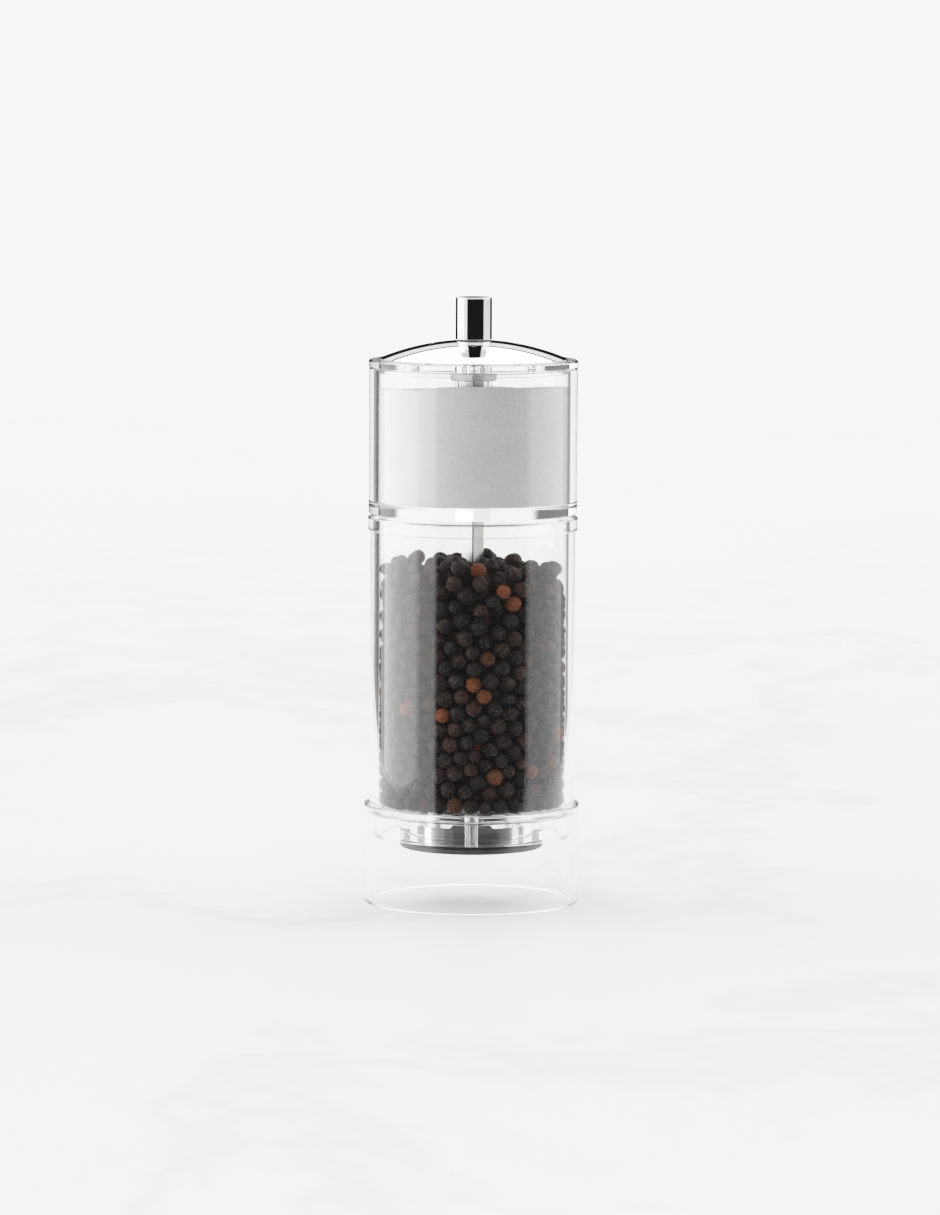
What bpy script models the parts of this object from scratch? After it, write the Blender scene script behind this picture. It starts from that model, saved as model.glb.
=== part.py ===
"""Clear table mill with a salt shaker above a pepper mill, modelled piece by piece.

Metres, +Z up. The origin is under the middle of the base, so the mill stands on z = 0 and every turned
piece is centred on the Z axis. The front is -Y. Run it with blender --background --python part.py
"""

import math

import bmesh
import bpy
from mathutils import Matrix, Vector

MM = 0.001

# Gaps between pieces
SEAM = 0.3 * MM  # pieces that touch, are bonded or are clamped together
RUNNING_GAP = 0.4 * MM  # pieces that turn or slide on each other

# Facets
ROUND_STEPS = 48  # the large turned pieces
SMALL_STEPS = 24  # the shaft, the screws and the knob's pieces
FILLET_STEPS = 1
CUT_PAST = 1.0 * MM  # how far a cutter runs past the piece it cuts

# Skirt: the open clear foot under the grinder
SKIRT_HEIGHT = 25.7 * MM
SKIRT_WALL = 2.0 * MM
SKIRT_STEP = 1.3 * MM  # how far it stands out past the pepper tube
SKIRT_SOCKET_DEPTH = 1.8 * MM  # the recess in its top that the tube stands in
SKIRT_EDGE_FILLET = 0.5 * MM

# Pepper tube and the collar on its top
TUBE_RADIUS = 26.7 * MM
TUBE_WALL = 2.3 * MM
TUBE_LENGTH = 72.5 * MM
COLLAR_HEIGHT = 3.5 * MM
COLLAR_OVERHANG = 0.5 * MM
EDGE_FILLET = 0.3 * MM  # the eased edges of the clear pieces

# Base plug: the clear floor of the pepper chamber
PLUG_SIDE_GAP = 0.5 * MM
PLUG_SPIGOT_HEIGHT = 1.5 * MM  # the part of its floor that stands up inside the tube
PLUG_FLOOR_THICKNESS = 2.0 * MM
PLUG_RING_WALL = 2.0 * MM
PLUG_DEPTH = 7.9 * MM

# Burr housing: the clear block that holds the fixed burr
HOUSING_RADIUS = 18.65 * MM
HOUSING_HEIGHT = 6.1 * MM
HOPPER_RADIUS = 10.0 * MM

# Fixed burr
STATOR_RADIUS = 10.6 * MM
STATOR_HEIGHT = 3.5 * MM
STATOR_THROAT_HEIGHT = 1.2 * MM  # the narrowest place, above its lower face
STATOR_THROAT_RADIUS = 8.7 * MM
STATOR_FLARE = 0.8 * MM  # how much wider the lower mouth is than the throat
STATOR_TOP_RADIUS = 9.3 * MM
STATOR_TOOTH_DEPTH = 0.5 * MM
STATOR_TEETH = 16

# Turning burr
ROTOR_BASE_HEIGHT = 0.9 * MM  # how far its base hangs below the fixed burr
ROTOR_BASE_RADIUS = 9.1 * MM
ROTOR_RIM_HEIGHT = 0.4 * MM
ROTOR_TOP_RADIUS = 3.9 * MM
ROTOR_TOP_RISE = 0.3 * MM  # how far its top stands above the fixed burr
ROTOR_TOOTH_DEPTH = 0.7 * MM
ROTOR_TEETH = 12
ROTOR_TWIST = math.radians(35.0)
ROTOR_STEPS_PER_TOOTH = 4

# Grinder plate: the dark disc that closes the mechanism from below
PLATE_BRIM_THICKNESS = 1.3 * MM
PLATE_BOSS_HEIGHT = 0.9 * MM
PLATE_BOSS_RADIUS = 16.6 * MM
PLATE_BRIM_FILLET = 0.8 * MM

# Mechanism screws: countersunk, up through plate, housing and plug into the bridge
SCREW_RADIUS = 1.25 * MM
SCREW_HEAD_RADIUS = 2.3 * MM
SCREW_CIRCLE_RADIUS = 14.0 * MM
SCREW_SLOT_WIDTH = 0.6 * MM
SCREW_SLOT_DEPTH = 0.6 * MM
SCREW_ANGLES = (math.radians(-90.0), math.radians(90.0))

# Bearing bridge: the strip across the hopper that steadies the shaft
BRIDGE_WIDTH = 6.0 * MM
BRIDGE_THICKNESS = 1.2 * MM
BRIDGE_RISE = 2.9 * MM
BRIDGE_EYE_RADIUS = 5.2 * MM
BRIDGE_EYE_BEAD = 0.1 * MM  # how much thicker the eye is than the strip, on each face
BRIDGE_LEG_RUN = 3.8 * MM  # how far each sloped leg reaches outwards
BRIDGE_FOOT_LENGTH = 4.2 * MM
BUSH_WALL = 0.95 * MM
BUSH_RISE = 0.8 * MM  # how far the bush stands above the bridge

# Shaft
SHAFT_SIDE = 4.2 * MM  # the square bar that drives the mill
TENON_SIDE = 3.0 * MM  # its thinner square foot, inside the mechanism
TENON_LENGTH = 18.2 * MM
TENON_BELOW_CLIP = 0.9 * MM
NECK_RADIUS = 1.2 * MM
THREAD_RADIUS = 2.0 * MM
THREAD_LENGTH = 9.0 * MM
SHAFT_TURN = math.radians(45.0)  # the bar shows one of its edges to the front

# Adjusting spring, thrust washer and clip
SPRING_WIRE = 0.8 * MM
SPRING_COILS = 4
SPRING_POINTS_PER_COIL = 12
WASHER_THICKNESS = 0.6 * MM
WASHER_RADIUS = 4.2 * MM
CLIP_THICKNESS = 0.4 * MM
CLIP_RADIUS = 3.2 * MM
CLIP_MOUTH = 2.0 * MM

# Salt cup
HEAD_GAP = 0.9 * MM  # the visible gap between the turning head and the collar
HEAD_RADIUS = 27.0 * MM
HEAD_WALL = 2.45 * MM
SALT_FLOOR_THICKNESS = 3.4 * MM
SALT_FLOOR_OVERHANG = 0.1 * MM
HEAD_SPIGOT_DEPTH = 1.6 * MM
HEAD_SPIGOT_WALL = 1.7 * MM
SALT_CUP_LENGTH = 33.9 * MM
CENTRE_TUBE_CLEARANCE = 0.43 * MM  # between its bore and the corners of the shaft
CENTRE_TUBE_WALL = 1.55 * MM

# Lid
LID_THICKNESS = 1.9 * MM
LID_SPIGOT_DEPTH = 1.4 * MM
LID_SPIGOT_WALL = 1.2 * MM
LID_BOSS_WALL = 0.85 * MM
LID_BOSS_LENGTH = 3.5 * MM
LID_BOSS_CEILING = 0.9 * MM
DOME_RADIUS = 24.2 * MM
DOME_RISE = 4.8 * MM
DOME_SHEET = 0.6 * MM
DOME_STEPS = 6
SHAKER_HOLES = 4
SHAKER_HOLE_RADIUS = 0.95 * MM
SHAKER_CIRCLE_RADIUS = 11.05 * MM
LID_HOLE_RADIUS = 1.6 * MM

# Knob
KNOB_RADIUS = 4.7 * MM
KNOB_HEIGHT = 10.9 * MM
KNOB_CAP = 1.8 * MM
KNOB_SKIRT_WALL = 0.5 * MM
KNOB_EDGE_FILLET = 0.35 * MM
INSERT_WALL = 1.0 * MM
KNOB_WASHER_THICKNESS = 0.3 * MM

# Contents
PEPPER_FILL_HEIGHT = 63.3 * MM
SALT_FILL_HEIGHT = 28.4 * MM

# Heights that follow from the sizes above, from the table upwards
socket_floor = SKIRT_HEIGHT - SKIRT_SOCKET_DEPTH
tube_bottom = socket_floor + SEAM
tube_top = tube_bottom + TUBE_LENGTH
collar_bottom = tube_top + SEAM
collar_top = collar_bottom + COLLAR_HEIGHT

plug_flange_top = tube_bottom - SEAM
plug_top = plug_flange_top + PLUG_SPIGOT_HEIGHT
plug_underside = plug_top - PLUG_FLOOR_THICKNESS
plug_bottom = plug_top - PLUG_DEPTH

housing_top = plug_underside - SEAM
housing_bottom = housing_top - HOUSING_HEIGHT
stator_bottom = housing_bottom
stator_top = stator_bottom + STATOR_HEIGHT
throat_height = stator_bottom + STATOR_THROAT_HEIGHT
plate_top = housing_bottom - SEAM
plate_brim_top = plate_top - PLATE_BOSS_HEIGHT
plate_bottom = plate_brim_top - PLATE_BRIM_THICKNESS

rotor_bottom = stator_bottom - ROTOR_BASE_HEIGHT
rotor_top = stator_top + ROTOR_TOP_RISE
clip_top = rotor_bottom - SEAM
clip_bottom = clip_top - CLIP_THICKNESS
shaft_bottom = clip_bottom - TENON_BELOW_CLIP
shoulder = shaft_bottom + TENON_LENGTH

bridge_foot_bottom = plug_top + SEAM
bridge_foot_top = bridge_foot_bottom + BRIDGE_THICKNESS
bridge_bottom = bridge_foot_bottom + BRIDGE_RISE
bridge_top = bridge_bottom + BRIDGE_THICKNESS
eye_bottom = bridge_bottom - BRIDGE_EYE_BEAD
eye_top = bridge_top + BRIDGE_EYE_BEAD
bush_top = eye_top + BUSH_RISE
washer_top = eye_bottom - SEAM
washer_bottom = washer_top - WASHER_THICKNESS
spring_top = washer_bottom - SEAM
spring_bottom = rotor_top + SEAM

salt_floor_bottom = collar_top + HEAD_GAP
salt_floor_top = salt_floor_bottom + SALT_FLOOR_THICKNESS
cup_bottom = salt_floor_top + SEAM
cup_top = cup_bottom + SALT_CUP_LENGTH
lid_bottom = cup_top + SEAM
lid_top = lid_bottom + LID_THICKNESS
boss_bottom = lid_bottom - LID_BOSS_LENGTH
boss_ceiling = lid_bottom - LID_BOSS_CEILING
centre_tube_top = boss_ceiling - SEAM
dome_bottom = lid_top + SEAM
dome_top = dome_bottom + DOME_RISE

# Radii that follow
skirt_radius = TUBE_RADIUS + SKIRT_STEP
skirt_bore = skirt_radius - SKIRT_WALL
tube_bore = TUBE_RADIUS - TUBE_WALL
head_bore = HEAD_RADIUS - HEAD_WALL
stator_bore = STATOR_RADIUS + SEAM
plate_hole = ROTOR_BASE_RADIUS + RUNNING_GAP
screw_hole = SCREW_RADIUS + SEAM
tenon_corner = TENON_SIDE / math.sqrt(2.0)
shaft_corner = SHAFT_SIDE / math.sqrt(2.0)
bush_bore = tenon_corner + RUNNING_GAP
bush_radius = bush_bore + BUSH_WALL
spring_radius = tenon_corner + RUNNING_GAP + SPRING_WIRE / 2.0
thrust_washer_bore = tenon_corner + RUNNING_GAP
centre_bore = shaft_corner + CENTRE_TUBE_CLEARANCE
centre_tube_radius = centre_bore + CENTRE_TUBE_WALL
boss_bore = centre_tube_radius + SEAM
boss_radius = boss_bore + LID_BOSS_WALL
shaft_hole = shaft_corner + RUNNING_GAP
dome_sphere = (DOME_RADIUS**2 + DOME_RISE**2) / (2.0 * DOME_RISE)
dome_centre = dome_top - dome_sphere


def dome_surface(radius):
    """Height of the dome's outside at a radius from the axis."""
    return dome_centre + math.sqrt(dome_sphere**2 - radius**2)


shaft_square_top = dome_top - RUNNING_GAP - KNOB_WASHER_THICKNESS
shaft_top = shaft_square_top + THREAD_LENGTH
knob_bottom = dome_surface(KNOB_RADIUS) + SEAM
knob_top = knob_bottom + KNOB_HEIGHT
knob_washer_bottom = dome_top + SEAM
knob_washer_top = knob_washer_bottom + KNOB_WASHER_THICKNESS
knob_ceiling = knob_washer_top + SEAM
knob_bore_top = knob_top - KNOB_CAP
insert_bore = THREAD_RADIUS + RUNNING_GAP
insert_radius = insert_bore + INSERT_WALL
insert_bottom = knob_ceiling + SEAM
insert_top = knob_bore_top - SEAM


def clear_scene():
    """Remove the objects of the scene that the script starts in."""
    for thing in list(bpy.data.objects):
        bpy.data.objects.remove(thing, do_unlink=True)


def make_material(name, color, roughness, metallic=0.0, transmission=0.0):
    """A plain Principled BSDF material."""
    material = bpy.data.materials.new(name)
    material.use_nodes = True
    shader = material.node_tree.nodes["Principled BSDF"]
    shader.inputs["Base Color"].default_value = (*color, 1.0)
    shader.inputs["Roughness"].default_value = roughness
    shader.inputs["Metallic"].default_value = metallic
    shader.inputs["Transmission Weight"].default_value = transmission
    return material


def make_materials():
    """One material for each finish of the mill."""
    return {
        "clear_acrylic": make_material("clear_acrylic", (0.95, 0.96, 0.97), 0.03, transmission=1.0),
        "chrome": make_material("chrome", (0.82, 0.82, 0.81), 0.05, metallic=1.0),
        "shaft_metal": make_material("shaft_metal", (0.72, 0.71, 0.69), 0.3, metallic=1.0),
        "steel": make_material("steel", (0.55, 0.55, 0.54), 0.3, metallic=1.0),
        "brass": make_material("brass", (0.72, 0.55, 0.27), 0.3, metallic=1.0),
        "burr_ceramic": make_material("burr_ceramic", (0.16, 0.16, 0.17), 0.5),
        "plate_plastic": make_material("plate_plastic", (0.06, 0.06, 0.065), 0.4),
        "nylon": make_material("nylon", (0.85, 0.85, 0.82), 0.45),
        "peppercorns": make_material("peppercorns", (0.06, 0.035, 0.022), 0.7),
        "salt": make_material("salt", (0.9, 0.9, 0.9), 0.8),
    }


def make_body(name, parent=None):
    """An empty on the mill's axis that carries the pieces which move together."""
    frame = bpy.data.objects.new(name, None)
    frame.empty_display_size = 10.0 * MM
    bpy.context.scene.collection.objects.link(frame)
    frame.parent = parent
    return frame


def add_object(name, data, material=None, body=None):
    """Link an object, and give it its material and the empty it rides on."""
    thing = bpy.data.objects.new(name, data)
    bpy.context.scene.collection.objects.link(thing)
    thing.parent = body
    if material is not None:
        data.materials.append(material)
    return thing


def mesh_object(name, form, material=None, body=None, sharp_angle=math.radians(35.0)):
    """Turn a bmesh into an object with its own origin on the axis at its lowest point."""
    base = min(vertex.co.z for vertex in form.verts)
    bmesh.ops.translate(form, verts=form.verts, vec=(0.0, 0.0, -base))
    bmesh.ops.recalc_face_normals(form, faces=form.faces)
    mesh = bpy.data.meshes.new(name)
    form.to_mesh(mesh)
    form.free()
    mesh.shade_smooth()
    mesh.set_sharp_from_angle(angle=sharp_angle)
    thing = add_object(name, mesh, material, body)
    thing.location.z = base
    return thing


def outline(*corners):
    """Points of a closed outline from (radius, height) or (radius, height, fillet) corners."""
    points = []
    for index, corner in enumerate(corners):
        here = Vector(corner[:2])
        fillet = corner[2] if len(corner) == 3 else 0.0
        if fillet <= 0.0:
            points.append(here)
            continue
        before = (Vector(corners[index - 1][:2]) - here).normalized()
        after = (Vector(corners[(index + 1) % len(corners)][:2]) - here).normalized()
        half = before.angle(after) / 2.0
        centre = here + (before + after).normalized() * (fillet / math.sin(half))
        start = here + before * (fillet / math.tan(half)) - centre
        turn = start.angle_signed(here + after * (fillet / math.tan(half)) - centre)
        for step in range(FILLET_STEPS + 1):
            points.append(centre + Matrix.Rotation(-turn * step / FILLET_STEPS, 2) @ start)
    return [(point.x, point.y) for point in points]


def turned_form(points, steps):
    """Spin a closed outline of (radius, height) points round the Z axis."""
    form = bmesh.new()
    ring = [form.verts.new((radius, 0.0, height)) for radius, height in points]
    edges = []
    for first, second in zip(ring, ring[1:] + ring[:1]):
        if first.co.x > 0.0 or second.co.x > 0.0:
            edges.append(form.edges.new((first, second)))
    bmesh.ops.spin(
        form, geom=ring + edges, axis=(0.0, 0.0, 1.0), cent=(0.0, 0.0, 0.0), angle=2.0 * math.pi, steps=steps
    )
    bmesh.ops.remove_doubles(form, verts=form.verts, dist=1.0e-7)
    return form


def turned(name, points, material=None, body=None, steps=ROUND_STEPS):
    """A turned piece."""
    return mesh_object(name, turned_form(points, steps), material, body)


def washer_points(bore, radius, bottom, top, fillet=0.0):
    """Outline of a plain ring, with its outer edges eased by the fillet."""
    return outline((bore, bottom), (radius, bottom, fillet), (radius, top, fillet), (bore, top))


def turned_tool(name, points, place=(0.0, 0.0), steps=SMALL_STEPS):
    """A turned solid standing anywhere, for a cut or a join.

    It is turned by half a facet, so that none of its edges meets an edge of the piece that it works on.
    """
    thing = turned(name, points, steps=steps)
    thing.location.xy = place
    thing.rotation_euler.z = math.pi / steps
    return thing


def cylinder(name, radius, bottom, top, place=(0.0, 0.0), steps=SMALL_STEPS):
    """A plain cylinder standing anywhere, for a cut or a join."""
    return turned_tool(name, [(0.0, bottom), (radius, bottom), (radius, top), (0.0, top)], place, steps)


def square_bar(name, side, bottom, top, turn=SHAFT_TURN):
    """A square bar on the axis, for a cut or a join."""
    form = bmesh.new()
    bmesh.ops.create_cube(form, size=1.0)
    bmesh.ops.scale(form, verts=form.verts, vec=(side, side, top - bottom))
    bmesh.ops.rotate(form, verts=form.verts, cent=(0.0, 0.0, 0.0), matrix=Matrix.Rotation(turn, 3, "Z"))
    bmesh.ops.translate(form, verts=form.verts, vec=(0.0, 0.0, (bottom + top) / 2.0))
    return mesh_object(name, form)


def combine(target, tool, operation):
    """Cut the tool from the target, or join it on, and hide the tool."""
    modifier = target.modifiers.new(tool.name, "BOOLEAN")
    modifier.operation = operation
    modifier.solver = "EXACT"
    modifier.object = tool
    tool.hide_render = True
    tool.display_type = "WIRE"


def cut(target, tool):
    """Cut the tool from the target."""
    combine(target, tool, "DIFFERENCE")


def join(target, tool):
    """Join the tool onto the target."""
    combine(target, tool, "UNION")


def around(radius, angle):
    """The point at a radius and an angle round the axis."""
    return (radius * math.cos(angle), radius * math.sin(angle))


def make_skirt(materials, body):
    """The open foot, with a socket in its top for the pepper tube."""
    socket = TUBE_RADIUS + SEAM
    turned(
        "base_skirt",
        outline(
            (skirt_bore, 0.0, SKIRT_EDGE_FILLET),
            (skirt_radius, 0.0, SKIRT_EDGE_FILLET),
            (skirt_radius, SKIRT_HEIGHT, EDGE_FILLET),
            (socket, SKIRT_HEIGHT),
            (socket, socket_floor),
            (skirt_bore, socket_floor),
        ),
        materials["clear_acrylic"],
        body,
    )


def make_pepper_tube(materials, body):
    """The tube that holds the peppercorns, and the collar bonded on its top."""
    clear = materials["clear_acrylic"]
    turned("pepper_tube", washer_points(tube_bore, TUBE_RADIUS, tube_bottom, tube_top), clear, body)
    collar_radius = TUBE_RADIUS + COLLAR_OVERHANG
    collar = washer_points(tube_bore, collar_radius, collar_bottom, collar_top, EDGE_FILLET)
    turned("tube_collar", collar, clear, body)


def make_base_plug(materials, body):
    """The clear floor of the pepper chamber, with a hopper hole and a hanging ring."""
    flange = skirt_bore - PLUG_SIDE_GAP
    plug = turned(
        "base_plug",
        outline(
            (HOPPER_RADIUS, plug_underside),
            (flange - PLUG_RING_WALL, plug_underside),
            (flange - PLUG_RING_WALL, plug_bottom),
            (flange, plug_bottom, EDGE_FILLET),
            (flange, plug_flange_top),
            (tube_bore - SEAM, plug_flange_top),
            (tube_bore - SEAM, plug_top),
            (HOPPER_RADIUS, plug_top),
        ),
        materials["clear_acrylic"],
        body,
    )
    cut_screw_holes(plug, plug_underside, plug_top)


def cut_screw_holes(piece, bottom, top):
    """Cut the two mechanism screws' clearance holes through a piece."""
    for number, angle in enumerate(SCREW_ANGLES, start=1):
        place = around(SCREW_CIRCLE_RADIUS, angle)
        name = f"{piece.name}_screw_hole_{number}"
        cut(piece, cylinder(name, screw_hole, bottom - CUT_PAST, top + CUT_PAST, place))


def make_burr_housing(materials, body):
    """The clear block under the plug that the fixed burr seats in from below."""
    seat_top = stator_top + SEAM
    housing = turned(
        "burr_housing",
        outline(
            (stator_bore, housing_bottom),
            (HOUSING_RADIUS, housing_bottom, EDGE_FILLET),
            (HOUSING_RADIUS, housing_top),
            (HOPPER_RADIUS, housing_top),
            (HOPPER_RADIUS, seat_top),
            (stator_bore, seat_top),
        ),
        materials["clear_acrylic"],
        body,
    )
    cut_screw_holes(housing, housing_bottom, housing_top)


def tooth_wave(turns):
    """A triangle wave from 0 on a tooth's crest to 1 in the groove beside it."""
    return 1.0 - abs(2.0 * (turns % 1.0) - 1.0)


def toothed(name, points, teeth, depth, twist, material, body):
    """A turned piece whose flagged points run in and out as teeth that lean round the axis.

    Each point is (radius, height, toothed), and a negative depth cuts the teeth outwards into a bore.
    """
    lowest = min(height for _, height, _ in points)
    highest = max(height for _, height, _ in points)
    steps = teeth * ROTOR_STEPS_PER_TOOTH
    form = bmesh.new()
    rings = []
    for step in range(steps):
        angle = 2.0 * math.pi * step / steps
        ring = []
        for radius, height, is_toothed in points:
            lean = twist * (height - lowest) / (highest - lowest)
            groove = depth * tooth_wave(teeth * angle / (2.0 * math.pi)) if is_toothed else 0.0
            ring.append(form.verts.new((*around(radius - groove, angle + lean), height)))
        rings.append(ring)
    for ring, beside in zip(rings, rings[1:] + rings[:1]):
        for low in range(len(points)):
            high = (low + 1) % len(points)
            form.faces.new((ring[low], beside[low], beside[high], ring[high]))
    bmesh.ops.triangulate(form, faces=form.faces)
    return mesh_object(name, form, material, body, sharp_angle=math.radians(25.0))


def make_burrs(materials, stator_frame, rotor_frame):
    """The fixed burr, and the turning burr with its square hole."""
    toothed(
        "stator_burr",
        [
            (STATOR_RADIUS, stator_bottom, False),
            (STATOR_RADIUS, stator_top, False),
            (STATOR_TOP_RADIUS, stator_top, True),
            (STATOR_THROAT_RADIUS, throat_height, True),
            (STATOR_THROAT_RADIUS + STATOR_FLARE, stator_bottom, True),
        ],
        STATOR_TEETH,
        -STATOR_TOOTH_DEPTH,
        0.0,
        materials["burr_ceramic"],
        stator_frame,
    )
    bore = tenon_corner + SEAM
    waist_radius = STATOR_THROAT_RADIUS - RUNNING_GAP
    rotor = toothed(
        "rotor_burr",
        [
            (bore, rotor_bottom, False),
            (ROTOR_BASE_RADIUS, rotor_bottom, False),
            (ROTOR_BASE_RADIUS, rotor_bottom + ROTOR_RIM_HEIGHT, True),
            (waist_radius, throat_height, True),
            ((waist_radius + ROTOR_TOP_RADIUS) / 2.0, (throat_height + rotor_top) / 2.0, True),
            (ROTOR_TOP_RADIUS, rotor_top, True),
            (bore, rotor_top, False),
        ],
        ROTOR_TEETH,
        ROTOR_TOOTH_DEPTH,
        ROTOR_TWIST,
        materials["burr_ceramic"],
        rotor_frame,
    )
    return rotor


def make_grinder_plate(materials, body):
    """The dark disc that holds the fixed burr up in its housing."""
    plate = turned(
        "grinder_plate",
        outline(
            (plate_hole, plate_bottom),
            (HOUSING_RADIUS, plate_bottom, PLATE_BRIM_FILLET),
            (HOUSING_RADIUS, plate_brim_top),
            (PLATE_BOSS_RADIUS, plate_brim_top),
            (PLATE_BOSS_RADIUS, plate_top),
            (plate_hole, plate_top),
        ),
        materials["plate_plastic"],
        body,
    )
    sink = SCREW_HEAD_RADIUS - SCREW_RADIUS
    for number, angle in enumerate(SCREW_ANGLES, start=1):
        countersunk = [
            (0.0, plate_bottom - CUT_PAST),
            (screw_hole + sink + CUT_PAST, plate_bottom - CUT_PAST),
            (screw_hole, plate_bottom + sink),
            (screw_hole, plate_top + CUT_PAST),
            (0.0, plate_top + CUT_PAST),
        ]
        place = around(SCREW_CIRCLE_RADIUS, angle)
        cut(plate, turned_tool(f"grinder_plate_screw_hole_{number}", countersunk, place))


def make_screws(materials, body):
    """The two long countersunk screws that clamp the mechanism together."""
    sink = SCREW_HEAD_RADIUS - SCREW_RADIUS
    head_face = plate_bottom + SEAM
    for number, angle in enumerate(SCREW_ANGLES, start=1):
        screw = turned(
            f"mechanism_screw_{number}",
            [
                (0.0, head_face),
                (SCREW_HEAD_RADIUS - SEAM, head_face),
                (SCREW_RADIUS, head_face + sink - SEAM),
                (SCREW_RADIUS, bridge_foot_top),
                (0.0, bridge_foot_top),
            ],
            materials["steel"],
            body,
            steps=SMALL_STEPS,
        )
        screw.location.xy = around(SCREW_CIRCLE_RADIUS, angle)
        form = bmesh.new()
        bmesh.ops.create_cube(form, size=1.0)
        size = (4.0 * SCREW_HEAD_RADIUS, SCREW_SLOT_WIDTH, 2.0 * SCREW_SLOT_DEPTH)
        bmesh.ops.scale(form, verts=form.verts, vec=size)
        bmesh.ops.translate(form, verts=form.verts, vec=(0.0, 0.0, head_face))
        slot = mesh_object(f"screw_slot_{number}", form)
        slot.location.xy = screw.location.xy
        cut(screw, slot)


def make_bridge(materials, body):
    """The arched strip over the hopper, front to back, and the bush in its eye."""
    foot_end = SCREW_CIRCLE_RADIUS + BRIDGE_FOOT_LENGTH / 2.0
    foot_start = SCREW_CIRCLE_RADIUS - BRIDGE_FOOT_LENGTH / 2.0
    crest = foot_start - BRIDGE_LEG_RUN
    upper_shift = BRIDGE_THICKNESS * (math.hypot(BRIDGE_LEG_RUN, BRIDGE_RISE) - BRIDGE_LEG_RUN) / BRIDGE_RISE
    half = [
        (crest, bridge_bottom),
        (foot_start, bridge_foot_bottom),
        (foot_end, bridge_foot_bottom),
        (foot_end, bridge_foot_top),
        (foot_start + upper_shift, bridge_foot_top),
        (crest + upper_shift, bridge_top),
    ]
    side = half + [(-along, height) for along, height in reversed(half)]
    form = bmesh.new()
    face = form.faces.new([form.verts.new((-BRIDGE_WIDTH / 2.0, along, height)) for along, height in side])
    swept = bmesh.ops.extrude_face_region(form, geom=[face])
    moved = [part for part in swept["geom"] if isinstance(part, bmesh.types.BMVert)]
    bmesh.ops.translate(form, verts=moved, vec=(BRIDGE_WIDTH, 0.0, 0.0))
    bridge = mesh_object("bearing_bridge", form, materials["steel"], body)
    join(bridge, cylinder("bridge_eye", BRIDGE_EYE_RADIUS, eye_bottom, eye_top, steps=32))
    cut(bridge, cylinder("bridge_bore", bush_radius + SEAM, eye_bottom - CUT_PAST, eye_top + CUT_PAST))
    cut_screw_holes(bridge, bridge_foot_bottom, bridge_foot_top)
    bush = washer_points(bush_bore, bush_radius, eye_bottom, bush_top)
    turned("bridge_bush", bush, materials["nylon"], body, steps=SMALL_STEPS)


def make_thrust_parts(materials, body):
    """The washer under the bridge and the spring that presses the turning burr down."""
    washer = washer_points(thrust_washer_bore, WASHER_RADIUS, washer_bottom, washer_top)
    turned("thrust_washer", washer, materials["nylon"], body, steps=32)
    helix = bpy.data.curves.new("adjust_spring", "CURVE")
    helix.dimensions = "3D"
    helix.bevel_depth = SPRING_WIRE / 2.0
    helix.bevel_resolution = 1
    helix.use_fill_caps = True
    spline = helix.splines.new("POLY")
    count = SPRING_COILS * SPRING_POINTS_PER_COIL + 1
    spline.points.add(count - 1)
    travel = spring_top - spring_bottom - SPRING_WIRE
    for index, point in enumerate(spline.points):
        share = index / (count - 1)
        x, y = around(spring_radius, 2.0 * math.pi * SPRING_COILS * share)
        point.co = (x, y, SPRING_WIRE / 2.0 + travel * share, 1.0)
    spring = add_object("adjust_spring", helix, materials["steel"], body)
    spring.location.z = spring_bottom


def make_shaft(materials, body):
    """The square bar, its square foot with the clip's neck, and its threaded end."""
    shaft = square_bar("drive_shaft", SHAFT_SIDE, shoulder, shaft_square_top)
    shaft.data.materials.append(materials["shaft_metal"])
    shaft.parent = body
    overlap = SEAM
    join(shaft, square_bar("shaft_tenon", TENON_SIDE, shaft_bottom, shoulder + overlap))
    join(shaft, cylinder("shaft_thread", THREAD_RADIUS, shaft_square_top - overlap, shaft_top))
    neck = washer_points(NECK_RADIUS, TENON_SIDE, clip_bottom - SEAM, clip_top + SEAM)
    cut(shaft, turned("shaft_neck", neck, steps=SMALL_STEPS))


def make_clip(materials, body):
    """The open ring in the shaft's neck that carries the turning burr."""
    ring = washer_points(NECK_RADIUS + SEAM, CLIP_RADIUS, clip_bottom, clip_top)
    clip = turned("rotor_clip", ring, materials["steel"], body, steps=SMALL_STEPS)
    form = bmesh.new()
    bmesh.ops.create_cube(form, size=1.0)
    bmesh.ops.scale(form, verts=form.verts, vec=(2.0 * CLIP_RADIUS, CLIP_MOUTH, 4.0 * CLIP_THICKNESS))
    bmesh.ops.translate(form, verts=form.verts, vec=(CLIP_RADIUS, 0.0, (clip_bottom + clip_top) / 2.0))
    cut(clip, mesh_object("clip_mouth", form))


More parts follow.
